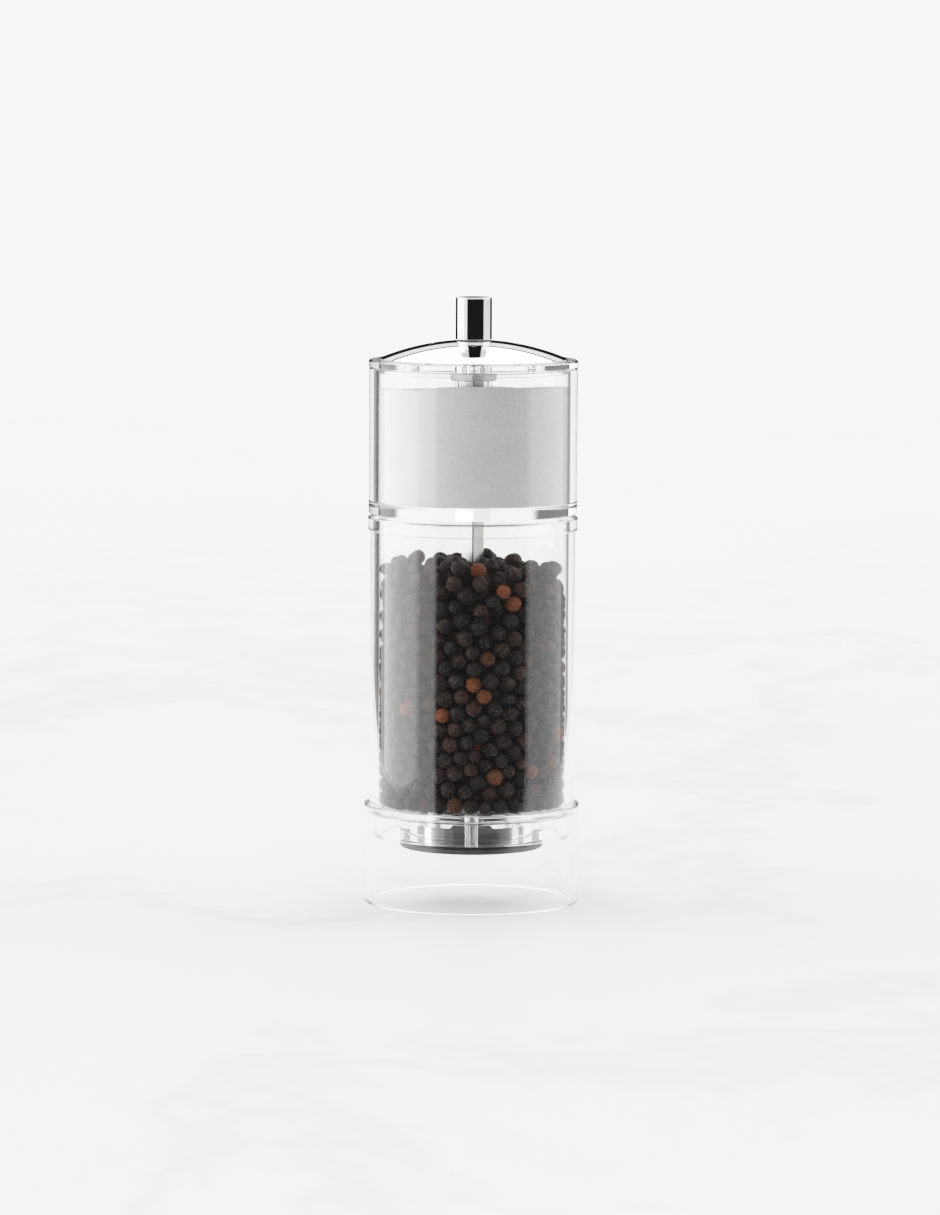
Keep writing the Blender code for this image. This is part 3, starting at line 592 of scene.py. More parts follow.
def shaded(form: bmesh.types.BMesh, name: str, sharp: float = 32.0) -> bpy.types.Mesh:
    """Turn a bmesh into a smooth-shaded mesh.

    Args:
        form: The bmesh, which is freed.
        name: The mesh's name.
        sharp: The angle in degrees past which an edge stays sharp.

    Returns:
        The mesh.
    """
    mesh = bpy.data.meshes.new(name)
    form.to_mesh(mesh)
    form.free()
    mesh.shade_smooth()
    mesh.set_sharp_from_angle(angle=math.radians(sharp))
    return mesh


def crisp(mesh: bpy.types.Mesh) -> bpy.types.Mesh:
    """Weight a mesh's normals by face area, so that small fillets don't bend the shading of long walls."""
    holder = bpy.data.objects.new(mesh.name, mesh)
    bpy.context.scene.collection.objects.link(holder)
    holder.modifiers.new("weights", "WEIGHTED_NORMAL").keep_sharp = True
    return plain_mesh(holder)


def turned(name: str, points: Outline, steps: int = FINE_STEPS, place: tuple = (0.0, 0.0)) -> bpy.types.Mesh:
    """Spin a closed outline round an upright axis.

    Args:
        name: The mesh's name.
        points: The outline's (radius, height) points.
        steps: Facets round the piece.
        place: X and Y of the axis.

    Returns:
        The mesh.
    """
    form = bmesh.new()
    ring = [form.verts.new((radius, 0.0, height)) for radius, height in points]
    edges = []
    for first, second in zip(ring, ring[1:] + ring[:1]):
        if first.co.x > 0.0 or second.co.x > 0.0:
            edges.append(form.edges.new((first, second)))
    upright = {"axis": (0.0, 0.0, 1.0), "cent": (0.0, 0.0, 0.0)}
    bmesh.ops.spin(form, geom=ring + edges, angle=FULL_TURN, steps=steps, **upright)
    bmesh.ops.remove_doubles(form, verts=form.verts, dist=1.0e-6)
    bmesh.ops.recalc_face_normals(form, faces=form.faces)
    bmesh.ops.translate(form, verts=form.verts, vec=(*place, 0.0))
    return crisp(shaded(form, name))


def drill(radius: float, bottom: float, top: float, place: tuple = (0.0, 0.0)) -> bpy.types.Mesh:
    """A plain round cutter."""
    return turned("drill", [(0.0, bottom), (radius, bottom), (radius, top), (0.0, top)], 40, place)


def square_bar(name: str, side: float, bottom: float, top: float, chamfer: float = 0.0) -> bpy.types.Mesh:
    """A square bar on the axis that shows one edge to the front.

    Args:
        name: The mesh's name.
        side: The bar's side.
        bottom: Its lower end.
        top: Its upper end.
        chamfer: The width of its broken edges.

    Returns:
        The mesh.
    """
    form = bmesh.new()
    bmesh.ops.create_cube(form, size=1.0)
    bmesh.ops.scale(form, verts=form.verts, vec=(side, side, top - bottom))
    bmesh.ops.rotate(form, verts=form.verts, matrix=Matrix.Rotation(math.radians(45.0), 3, "Z"))
    bmesh.ops.translate(form, verts=form.verts, vec=(0.0, 0.0, (bottom + top) / 2.0))
    if chamfer > 0.0:
        bmesh.ops.bevel(form, geom=list(form.edges), offset=chamfer, segments=1, affect="EDGES")
    return shaded(form, name)


def carved(
    mesh: bpy.types.Mesh, cuts: Sequence[bpy.types.Mesh], joins: Sequence[bpy.types.Mesh] = ()
) -> bpy.types.Mesh:
    """Join solids onto a mesh and cut others from it.

    Args:
        mesh: The mesh to work on.
        cuts: The solids to cut away.
        joins: The solids to join on first.

    Returns:
        The finished mesh.
    """
    holder = bpy.data.objects.new(mesh.name, mesh)
    tools = []
    for operation, solids in (("UNION", joins), ("DIFFERENCE", cuts)):
        for solid in solids:
            tool = bpy.data.objects.new(solid.name, solid)
            modifier = holder.modifiers.new(solid.name, "BOOLEAN")
            modifier.operation = operation
            modifier.solver = "EXACT"
            modifier.object = tool
            tools.append(tool)
    for thing in [holder, *tools]:
        bpy.context.scene.collection.objects.link(thing)
    made = plain_mesh(holder)
    for tool in tools:
        bpy.data.objects.remove(tool, do_unlink=True)
    made.shade_smooth()
    made.set_sharp_from_angle(angle=math.radians(32.0))
    return crisp(made)


def tidied_node(node: str, sharp: float = 30.0) -> bpy.types.Mesh:
    """A copy of a node's mesh with its loose triangles merged and shaded smooth."""
    form = bmesh.new()
    form.from_mesh(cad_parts[node].data)
    bmesh.ops.remove_doubles(form, verts=form.verts, dist=1.0e-6)
    return shaded(form, node, sharp)


def mount(
    name: str, mesh: bpy.types.Mesh, finish: Finish, body: str, nodes: Sequence[str] = (), paint: bool = True
) -> bpy.types.Object:
    """Make a piece, give it its finish and put it on its body.

    Args:
        name: The piece's name.
        mesh: Its mesh, already in place.
        finish: Its finish.
        body: The body that it rides on.
        nodes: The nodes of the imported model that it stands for.
        paint: Whether the finish still has to be set on the mesh.

    Returns:
        The piece.
    """
    piece = bpy.data.objects.new(name, mesh)
    bpy.context.scene.collection.objects.link(piece)
    if paint:
        mesh.materials.clear()
        mesh.materials.append(finish.material())
    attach(piece, body)
    if nodes:
        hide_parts(*nodes)
    LOG.info("%s: %d faces, rides on %s", name, len(mesh.polygons), body)
    return piece


# --------------------------------------------------------------------------------------------------
# The mill's foot and pepper chamber


@dataclass
class ClearFoot:
    """The open skirt that the mill stands on."""

    wall: float = 2.0 * MM
    socket_depth: float = 1.8 * MM
    lip: float = 0.45 * MM
    rim: float = 0.3 * MM

    def build(self) -> None:
        """Turn the skirt with the socket in its top."""
        span = Span.of("base_skirt")
        tube = Span.of("pepper_tube")
        bore = span.radius - self.wall
        socket_floor = span.top - self.socket_depth
        socket = tube.radius + SEAT
        points = outline(
            (bore, span.bottom, self.lip),
            (span.radius, span.bottom, self.lip),
            (span.radius, span.top, self.rim),
            (socket, span.top, 0.15 * MM),
            (socket, socket_floor),
            (bore, socket_floor, 0.2 * MM),
        )
        mount("clear_skirt", turned("clear_skirt", points), ACRYLIC, "mill_body", ["base_skirt"])


@dataclass
class PepperChamber:
    """The tube that holds the peppercorns, and the ring bonded on its top."""

    wall: float = 2.3 * MM
    ring_edge: float = 0.35 * MM

    def build(self) -> None:
        """Turn the tube and its ring."""
        tube = Span.of("pepper_tube")
        ring = Span.of("tube_collar")
        bore = tube.radius - self.wall
        top = ring.bottom - SEAT
        column = outline((bore, tube.bottom), (tube.radius, tube.bottom), (tube.radius, top), (bore, top))
        mount("clear_tube", turned("clear_tube", column), ACRYLIC, "mill_body", ["pepper_tube"])
        edge = self.ring_edge
        band = outline(
            (bore, ring.bottom, 0.1 * MM),
            (ring.radius, ring.bottom, edge),
            (ring.radius, ring.top, edge),
            (bore, ring.top, edge),
        )
        mount("clear_ring", turned("clear_ring", band), ACRYLIC, "mill_body", ["tube_collar"])


class GrowWay(Enum):
    """How a screw thread stands on its surface."""

    OUTSIDE = 1.0
    INSIDE = -1.0


@dataclass
class Thread:
    """A metric thread, as a cylinder wall whose points follow a helix in and out."""

    radius: float
    pitch: float
    bottom: float
    top: float
    way: GrowWay = GrowWay.OUTSIDE
    steps: int = 48
    rows_per_turn: int = 8
    run_out: float = 0.4  # plain length at each end, in pitches

    def depth(self) -> float:
        """Return the depth of the thread's groove."""
        return 0.54 * self.pitch

    def mesh(self, finish: Finish, second_radius: float) -> bpy.types.Mesh:
        """Grow the thread with Geometry Nodes on a closed turned solid.

        Args:
            finish: The finish of the piece.
            second_radius: The plain radius on the other side of the wall, or 0 for a solid rod.

        Returns:
            The threaded mesh.
        """
        length = self.top - self.bottom
        rows = max(2, round(length / self.pitch * self.rows_per_turn))
        wall = [(self.radius, self.bottom + length * row / rows) for row in range(rows + 1)]
        blank = [*wall, (second_radius, self.top), (second_radius, self.bottom)]
        base = turned("thread_blank", blank, self.steps)
        recipe = GeometryRecipe("helical_thread")
        sheet = recipe.sheet
        pitch = recipe.size("Pitch", self.pitch)
        radius = recipe.size("Radius", self.radius)
        depth = recipe.size("Depth", self.depth())
        way = recipe.size("Way", self.way.value)
        bottom = recipe.size("Bottom", self.bottom + self.run_out * self.pitch)
        top = recipe.size("Top", self.top - self.run_out * self.pitch)
        place = sheet.add("GeometryNodeInputPosition").outputs[0]
        x, y, z = sheet.add("ShaderNodeSeparateXYZ", {0: place}).outputs
        turn = sheet.math("DIVIDE", sheet.math("ARCTAN2", y, x), FULL_TURN)
        phase = sheet.math("SUBTRACT", sheet.math("DIVIDE", z, pitch), turn)
        wave = sheet.math("PINGPONG", phase, 0.5)
        groove = sheet.math("MULTIPLY", sheet.math("MULTIPLY", wave, 2.0), depth)
        level = sheet.add("ShaderNodeCombineXYZ", {0: x, 1: y}).outputs[0]
        out = sheet.add("ShaderNodeVectorMath", {0: level}, operation="NORMALIZE").outputs[0]
        reach = sheet.add("ShaderNodeVectorMath", {0: level}, operation="LENGTH").outputs["Value"]
        off = sheet.math("ABSOLUTE", sheet.math("SUBTRACT", reach, radius))
        on_wall = sheet.math("LESS_THAN", off, 0.01 * MM)
        above = sheet.math("GREATER_THAN", z, bottom)
        inside = sheet.math("MULTIPLY", above, sheet.math("LESS_THAN", z, top))
        grooved = sheet.math("MULTIPLY", groove, sheet.math("MULTIPLY", on_wall, inside))
        amount = sheet.math("MULTIPLY", sheet.math("MULTIPLY", grooved, way), -1.0)
        moves = {"Geometry": recipe.start.outputs[0], "Offset": sheet.scaled(out, amount)}
        moved = sheet.add("GeometryNodeSetPosition", moves)
        mesh = recipe.grow(base, moved.outputs[0], finish)
        mesh.shade_smooth()
        mesh.set_sharp_from_angle(angle=math.radians(40.0))
        return mesh


@dataclass
class Grinder:
    """The clear plug and housing, the burrs, the plate, the screws and the bridge."""

    screw_circle: float = 14.0 * MM
    screw_hole: float = 1.5 * MM
    screw_radius: float = 1.25 * MM
    screw_head: float = 2.2 * MM
    hopper: float = 10.0 * MM
    ring_wall: float = 2.0 * MM
    floor: float = 2.0 * MM
    spigot_height: float = 1.5 * MM
    seat: float = 10.65 * MM
    seat_depth: float = 3.55 * MM
    plate_hole: float = 9.5 * MM
    plate_boss: float = 16.6 * MM
    brim: float = 1.3 * MM
    bush_bore: float = 2.55 * MM

    def screw_places(self) -> list[tuple[float, float]]:
        """Return X and Y of the two screws."""
        return [(0.0, -self.screw_circle), (0.0, self.screw_circle)]

    def screw_drills(self, low: float, high: float) -> list[bpy.types.Mesh]:
        """Make a drill for each screw, from one height to another."""
        return [drill(self.screw_hole, low, high, place) for place in self.screw_places()]

    def build(self) -> None:
        """Make every piece of the grinder that stands still."""
        self.clear_blocks()
        self.plate()
        self.screws()
        self.inner_pieces()

    def clear_blocks(self) -> None:
        """Turn the plug and the burr housing and drill them for the screws."""
        plug = Span.of("base_plug")
        flange_top = plug.top - self.spigot_height
        underside = plug.top - self.floor
        inner = plug.radius - self.ring_wall
        spigot = TUBE_BORE - SEAT
        body = outline(
            (self.hopper, underside, 0.15 * MM),
            (inner, underside, 0.4 * MM),
            (inner, plug.bottom, 0.3 * MM),
            (plug.radius, plug.bottom, 0.5 * MM),
            (plug.radius, flange_top, 0.2 * MM),
            (spigot, flange_top, 0.1 * MM),
            (spigot, plug.top, 0.15 * MM),
            (self.hopper, plug.top, 0.3 * MM),
        )
        low, high = plug.bottom - MM, plug.top + MM
        mesh = carved(turned("clear_plug", body), self.screw_drills(low, high))
        mount("clear_plug", mesh, ACRYLIC, "mill_body", ["base_plug"])
        block = Span.of("burr_housing")
        top = underside - SEAT
        shape = outline(
            (self.seat, block.bottom, 0.1 * MM),
            (block.radius, block.bottom, 0.45 * MM),
            (block.radius, top, 0.25 * MM),
            (self.hopper, top, 0.1 * MM),
            (self.hopper, block.bottom + self.seat_depth),
            (self.seat, block.bottom + self.seat_depth),
        )
        mesh = carved(turned("clear_housing", shape), self.screw_drills(low, high))
        mount("clear_housing", mesh, ACRYLIC, "mill_body", ["burr_housing"])

    def plate(self) -> None:
        """Turn the dark plate with its brim and countersink it for the screws."""
        span = Span.of("grinder_plate")
        housing = Span.of("burr_housing")
        brim_top = span.bottom + self.brim
        body = outline(
            (self.plate_hole, span.bottom, 0.25 * MM),
            (span.radius, span.bottom, 0.8 * MM),
            (span.radius, brim_top, 0.12 * MM),
            (self.plate_boss, brim_top),
            (self.plate_boss, housing.bottom - SEAT),
            (self.plate_hole, housing.bottom - SEAT, 0.1 * MM),
        )
        sink = self.screw_head - self.screw_radius + 0.35 * MM
        cuts = []
        for place in self.screw_places():
            cone = [
                (0.0, span.bottom - MM),
                (self.screw_hole + sink + MM, span.bottom - MM),
                (self.screw_hole, span.bottom + sink),
                (self.screw_hole, housing.bottom + MM),
                (0.0, housing.bottom + MM),
            ]
            cuts.append(turned("countersink", cone, 48, place))
        mesh = carved(turned("burr_plate", body), cuts)
        mount("burr_plate", mesh, DARK_PLASTIC, "mill_body", ["grinder_plate"])

    def screws(self) -> None:
        """Turn the two long screws with their slotted heads."""
        for number, place in enumerate(self.screw_places(), start=1):
            node = f"mechanism_screw_{number}"
            low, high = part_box(node)
            slope = self.screw_head - self.screw_radius
            body = outline(
                (0.0, low.z),
                (self.screw_head - 0.25 * MM, low.z, 0.08 * MM),
                (self.screw_radius, low.z + slope),
                (self.screw_radius, high.z, 0.2 * MM),
                (0.0, high.z),
            )
            slot = bmesh.new()
            bmesh.ops.create_cube(slot, size=1.0)
            bmesh.ops.scale(slot, verts=slot.verts, vec=(4.0 * self.screw_head, 0.6 * MM, 1.2 * MM))
            bmesh.ops.translate(slot, verts=slot.verts, vec=(*place, low.z))
            mesh = carved(turned(node, body, 48, place), [shaded(slot, "screw_slot")])
            mount(f"long_screw_{number}", mesh, STEEL, "mill_body", [node])

    def inner_pieces(self) -> None:
        """Finish the fixed burr, the bridge and the bush with smooth copies of their nodes."""
        mount("fixed_burr", tidied_node("stator_burr", 25.0), CERAMIC, "mill_body", ["stator_burr"])
        mount("bridge", tidied_node("bearing_bridge"), STEEL, "mill_body", ["bearing_bridge"])
        bush = Span.of("bridge_bush")
        ring = outline(
            (self.bush_bore, bush.bottom, 0.1 * MM),
            (bush.radius, bush.bottom, 0.15 * MM),
            (bush.radius, bush.top, 0.2 * MM),
            (self.bush_bore, bush.top, 0.15 * MM),
        )
        mount("shaft_bush", turned("shaft_bush", ring, SMALL_STEPS), NYLON, "mill_body", ["bridge_bush"])


# --------------------------------------------------------------------------------------------------
# The pepper


@dataclass
class Peppercorns:
    """The peppercorns, packed as loose balls and then grown into wrinkled corns."""

    count: int = 1900
    mean_radius: float = 2.08 * MM
    spread: float = 0.17 * MM
    smallest: float = 1.75 * MM
    largest: float = 2.4 * MM
    chamber: float = 24.36 * MM
    looseness: float = 1.4
    fall: float = 0.15 * MM
    settle_steps: int = 330
    relax_steps: int = 80
    seed: int = 11
    push: float = 0.42  # share of an overlap that one push takes away
    bridge_foot: float = 1.5 * MM
    bridge_flat: float = 8.0 * MM
    nestle: float = 0.9  # how high a corn lies on an edge, as a share of its radius
    lump_scale: float = 420.0
    lump_depth: float = 0.16
    squat: tuple = (0.94, 1.02)

    def close_pairs(self, points: np.ndarray, radii: np.ndarray) -> tuple[np.ndarray, np.ndarray]:
        """Find the corns that may touch in the next few steps.

        Args:
            points: The corns' centres.
            radii: Their radii.

        Returns:
            The numbers of the first and the second corn of each pair.
        """
        gap = (points**2).sum(axis=1)
        apart = gap[:, None] + gap[None, :] - 2.0 * points @ points.T
        reach = (radii[:, None] + radii[None, :] + 1.2 * MM) ** 2
        first, second = np.nonzero(np.triu(apart < reach, 1))
        return first, second

    def push_apart(
        self, points: np.ndarray, radii: np.ndarray, pairs: tuple[np.ndarray, np.ndarray]
    ) -> None:
        """Move overlapping corns away from each other, in place."""
        first, second = pairs
        between = points[first] - points[second]
        apart = np.sqrt((between**2).sum(axis=1)) + 1.0e-9
        overlap = radii[first] + radii[second] - apart
        touching = overlap > 0.0
        first, second = first[touching], second[touching]
        step = between[touching] * (self.push * overlap[touching] / apart[touching])[:, None]
        for axis in range(3):
            points[:, axis] += np.bincount(first, step[:, axis], len(points))
            points[:, axis] -= np.bincount(second, step[:, axis], len(points))

    def keep_inside(
        self, points: np.ndarray, radii: np.ndarray, floor: float, shaft: float, bridge: tuple
    ) -> None:
        """Hold the corns in the chamber, off the shaft and on top of the bridge, in place.

        Args:
            points: The corns' centres.
            radii: Their radii.
            floor: The height of the chamber's floor.
            shaft: The radius that the shaft's corners sweep.
            bridge: Half width, half length and height of the bridge, and height and radius of its bush.
        """
        half_width, half_length, crest, bush_top, bush_radius = bridge
        lowest = floor + radii
        across, along = np.abs(points[:, 0]), np.abs(points[:, 1])
        over = (across < half_width + 0.5 * radii) & (along < half_length)
        slope = np.clip((half_length - along) / (half_length - self.bridge_flat), 0.0, 1.0)
        foot = floor + self.bridge_foot
        on_bridge = foot + slope * (crest - floor - self.bridge_foot) + self.nestle * radii
        lowest = np.where(over, np.maximum(lowest, on_bridge), lowest)
        reach = np.hypot(points[:, 0], points[:, 1]) + 1.0e-9
        on_bush = np.maximum(lowest, bush_top + self.nestle * radii)
        lowest = np.where(reach < bush_radius + 0.5 * radii, on_bush, lowest)
        points[:, 2] = np.maximum(points[:, 2], lowest)
        wanted = np.clip(reach, shaft + radii, self.chamber - radii)
        points[:, :2] *= (wanted / reach)[:, None]

    def settle(self) -> tuple[np.ndarray, np.ndarray]:
        """Drop the corns into the chamber.

        Returns:
            The corns' centres and their radii.
        """
        rng = np.random.default_rng(self.seed)
        radii = np.clip(rng.normal(self.mean_radius, self.spread, self.count), self.smallest, self.largest)
        fill = Span.of("peppercorn_fill")
        low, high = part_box("bearing_bridge")
        bush = Span.of("bridge_bush")
        bridge = (high.x, high.y, high.z, bush.top, bush.radius)
        floor = Span.of("base_plug").top
        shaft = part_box("drive_shaft")[1].x + 0.1 * MM
        heights = np.linspace(0.0, self.looseness * (fill.top - floor), self.count) + floor
        angles = rng.uniform(0.0, FULL_TURN, self.count)
        reaches = self.chamber * np.sqrt(rng.uniform(0.02, 0.9, self.count))
        points = np.column_stack([reaches * np.cos(angles), reaches * np.sin(angles), heights])
        for step in range(self.settle_steps + self.relax_steps):
            if step % 6 == 0:
                pairs = self.close_pairs(points, radii)
            if step < self.settle_steps:
                points[:, 2] -= self.fall * (1.0 - 0.9 * step / self.settle_steps)
            self.push_apart(points, radii, pairs)
            self.keep_inside(points, radii, floor, shaft, bridge)
            self.push_apart(points, radii, pairs)
            self.keep_inside(points, radii, floor, shaft, bridge)
        return points, radii

    def build(self) -> None:
        """Settle the corns and grow each one's skin with Geometry Nodes."""
        points, radii = self.settle()
        rng = np.random.default_rng(self.seed + 1)
        base = bpy.data.meshes.new("corn_centres")
        base.from_pydata(points.tolist(), [], [])
        base.attributes.new("size", "FLOAT", "POINT").data.foreach_set("value", radii.astype(np.float32))
        tint = rng.uniform(0.0, 1.0, self.count).astype(np.float32)
        base.attributes.new("tint", "FLOAT", "POINT").data.foreach_set("value", tint)
        recipe = GeometryRecipe("wrinkled_corns")
        sheet = recipe.sheet
        seed = recipe.size("Seed", self.seed, "NodeSocketInt")
        lumps = recipe.size("Lump Scale", self.lump_scale)
        depth = recipe.size("Lump Depth", self.lump_depth)
        ball = sheet.add("GeometryNodeMeshIcoSphere", {"Radius": 1.0, "Subdivisions": 2}).outputs[0]
        spin = sheet.random_vector(0.0, FULL_TURN, seed)
        size = sheet.add("GeometryNodeInputNamedAttribute", {"Name": "size"}, data_type="FLOAT").outputs[0]
        scale = sheet.scaled(sheet.random_vector(*self.squat, seed), size)
        corns = sheet.add(
            "GeometryNodeInstanceOnPoints",
            {"Points": recipe.start.outputs[0], "Instance": ball, "Rotation": spin, "Scale": scale},
        )
        real = sheet.add("GeometryNodeRealizeInstances", {0: corns.outputs[0]}).outputs[0]
        place = sheet.add("GeometryNodeInputPosition").outputs[0]
        lump = sheet.add("ShaderNodeTexNoise", {"Vector": place, "Scale": lumps, "Detail": 2.0}).outputs[0]
        swell = sheet.math("MULTIPLY", sheet.math("SUBTRACT", lump, 0.55), size)
        normal = sheet.add("GeometryNodeInputNormal").outputs[0]
        shift = sheet.scaled(normal, sheet.math("MULTIPLY", swell, depth))
        moved = sheet.add("GeometryNodeSetPosition", {"Geometry": real, "Offset": shift}).outputs[0]
        mesh = recipe.grow(base, moved, PEPPER)
        mesh.shade_smooth()
        mount("peppercorns", mesh, PEPPER, "mill_body", ["peppercorn_fill"], paint=False)


# --------------------------------------------------------------------------------------------------
# The turning spindle


@dataclass
class Spindle:
    """The square shaft with its thread, the turning burr, its clip, its spring and its washer."""

    side: float = 4.2 * MM
    tenon: float = 3.0 * MM
    tenon_length: float = 18.2 * MM
    thread_length: float = 9.0 * MM
    thread_radius: float = 2.0 * MM
    neck_radius: float = 1.2 * MM
    spring_turns: float = 4.0
    wire: float = 0.8 * MM

    def build(self) -> None:
        """Make the pieces that turn with the head."""
        low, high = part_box("drive_shaft")
        shoulder = low.z + self.tenon_length
        square_top = high.z - self.thread_length
        bar = square_bar("square_shaft", self.side, shoulder, square_top, 0.24 * MM)
        foot = square_bar("shaft_foot", self.tenon, low.z, shoulder + MM, 0.1 * MM)
        clip = Span.of("rotor_clip")
        start, end = clip.bottom - 0.2 * MM, clip.top + 0.2 * MM
        neck = [(self.neck_radius, start), (self.tenon, start), (self.tenon, end), (self.neck_radius, end)]
        body = carved(bar, [turned("neck", neck, 48)], [foot])
        mount("square_shaft", body, SHAFT_METAL, "spindle", ["drive_shaft"])
        thread = Thread(self.thread_radius, THREAD_PITCH, square_top - 0.3 * MM, high.z)
        mount("shaft_thread", thread.mesh(SHAFT_METAL, 0.0), SHAFT_METAL, "spindle", paint=False)
        mount("turning_burr", tidied_node("rotor_burr", 25.0), CERAMIC, "spindle", ["rotor_burr"])
        mount("burr_clip", tidied_node("rotor_clip"), SPRING_STEEL, "spindle", ["rotor_clip"])
        washer = Span.of("thrust_washer")
        bore = self.tenon / math.sqrt(2.0) + 0.4 * MM
        ring = outline(
            (bore, washer.bottom, 0.1 * MM),
            (washer.radius, washer.bottom, 0.15 * MM),
            (washer.radius, washer.top, 0.15 * MM),
            (bore, washer.top, 0.1 * MM),
        )
        mesh = turned("slip_washer", ring, SMALL_STEPS)
        mount("slip_washer", mesh, NYLON, "turning_seat", ["thrust_washer"])
        self.spring(bore)

    def spring(self, bore: float) -> None:
        """Wind the adjusting spring with Geometry Nodes.

        Args:
            bore: The inner radius of the coil.
        """
        low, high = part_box("adjust_spring")
        recipe = GeometryRecipe("wound_spring")
        sheet = recipe.sheet
        turns = recipe.size("Turns", self.spring_turns)
        radius = recipe.size("Coil Radius", bore + self.wire / 2.0)
        rise = recipe.size("Rise", high.z - low.z - self.wire)
        wire = recipe.size("Wire Radius", self.wire / 2.0)
        bottom = recipe.size("Bottom", low.z + self.wire / 2.0)
        helix = {"Resolution": 48, "Rotations": turns, "Height": rise}
        helix |= {"Start Radius": radius, "End Radius": radius}
        coil = sheet.add("GeometryNodeCurveSpiral", helix).outputs[0]
        section = sheet.add("GeometryNodeCurvePrimitiveCircle", {"Resolution": 14, "Radius": wire})
        sweep = {"Curve": coil, "Profile Curve": section.outputs[0], "Fill Caps": True}
        swept = sheet.add("GeometryNodeCurveToMesh", sweep).outputs[0]
        lift = sheet.add("ShaderNodeCombineXYZ", {2: bottom}).outputs[0]
        placed = sheet.add("GeometryNodeSetPosition", {"Geometry": swept, "Offset": lift}).outputs[0]
        mesh = recipe.grow(bpy.data.meshes.new("spring_blank"), placed, SPRING_STEEL)
        mesh.shade_smooth()
        piece = bpy.data.objects.new("coil_spring", mesh)
        bpy.context.scene.collection.objects.link(piece)
        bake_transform(piece)
        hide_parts("adjust_spring")
        LOG.info("coil_spring: %d faces, stretches between turning_seat and spindle", len(mesh.polygons))


# --------------------------------------------------------------------------------------------------
# The salt head


@dataclass
class SaltHead:
    """The clear salt cup: its floor with the square hole, its wall, its centre tube and the salt."""

    wall: float = 2.45 * MM
    spigot_depth: float = 1.6 * MM
    spigot_wall: float = 1.7 * MM
    tube_wall: float = 1.55 * MM
    hole_side: float = 4.3 * MM
    ring_edge: float = 0.35 * MM

    def build(self) -> None:
        """Make the cup's pieces and fill it."""
        floor = Span.of("salt_floor")
        underside = floor.bottom + self.spigot_depth
        spigot = TUBE_BORE - 0.25 * MM
        edge = self.ring_edge
        points = outline(
            (0.0, underside),
            (spigot - self.spigot_wall, underside, 0.3 * MM),
            (spigot - self.spigot_wall, floor.bottom, 0.3 * MM),
            (spigot, floor.bottom, 0.3 * MM),
            (spigot, underside, 0.2 * MM),
            (floor.radius, underside, edge),
            (floor.radius, floor.top, edge),
            (0.0, floor.top),
        )
        hole = square_bar("drive_hole", self.hole_side, floor.bottom - MM, floor.top + MM)
        mesh = carved(turned("head_floor", points), [hole])
        mount("head_floor", mesh, ACRYLIC, "salt_head", ["salt_floor"])
        cup = Span.of("salt_cup")
        bore = cup.radius - self.wall
        bottom = floor.top + SEAT
        wall = outline(
            (bore, bottom), (cup.radius, bottom), (cup.radius, cup.top, 0.1 * MM), (bore, cup.top, 0.1 * MM)
        )
        mount("head_wall", turned("head_wall", wall), ACRYLIC, "salt_head", ["salt_cup"])
        tube = Span.of("centre_tube")
        inner = tube.radius - self.tube_wall
        sleeve = outline(
            (inner, bottom),
            (tube.radius, bottom),
            (tube.radius, tube.top, 0.2 * MM),
            (inner, tube.top, 0.2 * MM),
        )
        mesh = turned("head_sleeve", sleeve, SMALL_STEPS)
        mount("head_sleeve", mesh, SLEEVE_ACRYLIC, "salt_head", ["centre_tube"])
        Salt(bottom + SEAT, Span.of("salt_fill").top, tube.radius + 0.05 * MM, bore - 0.03 * MM).build()


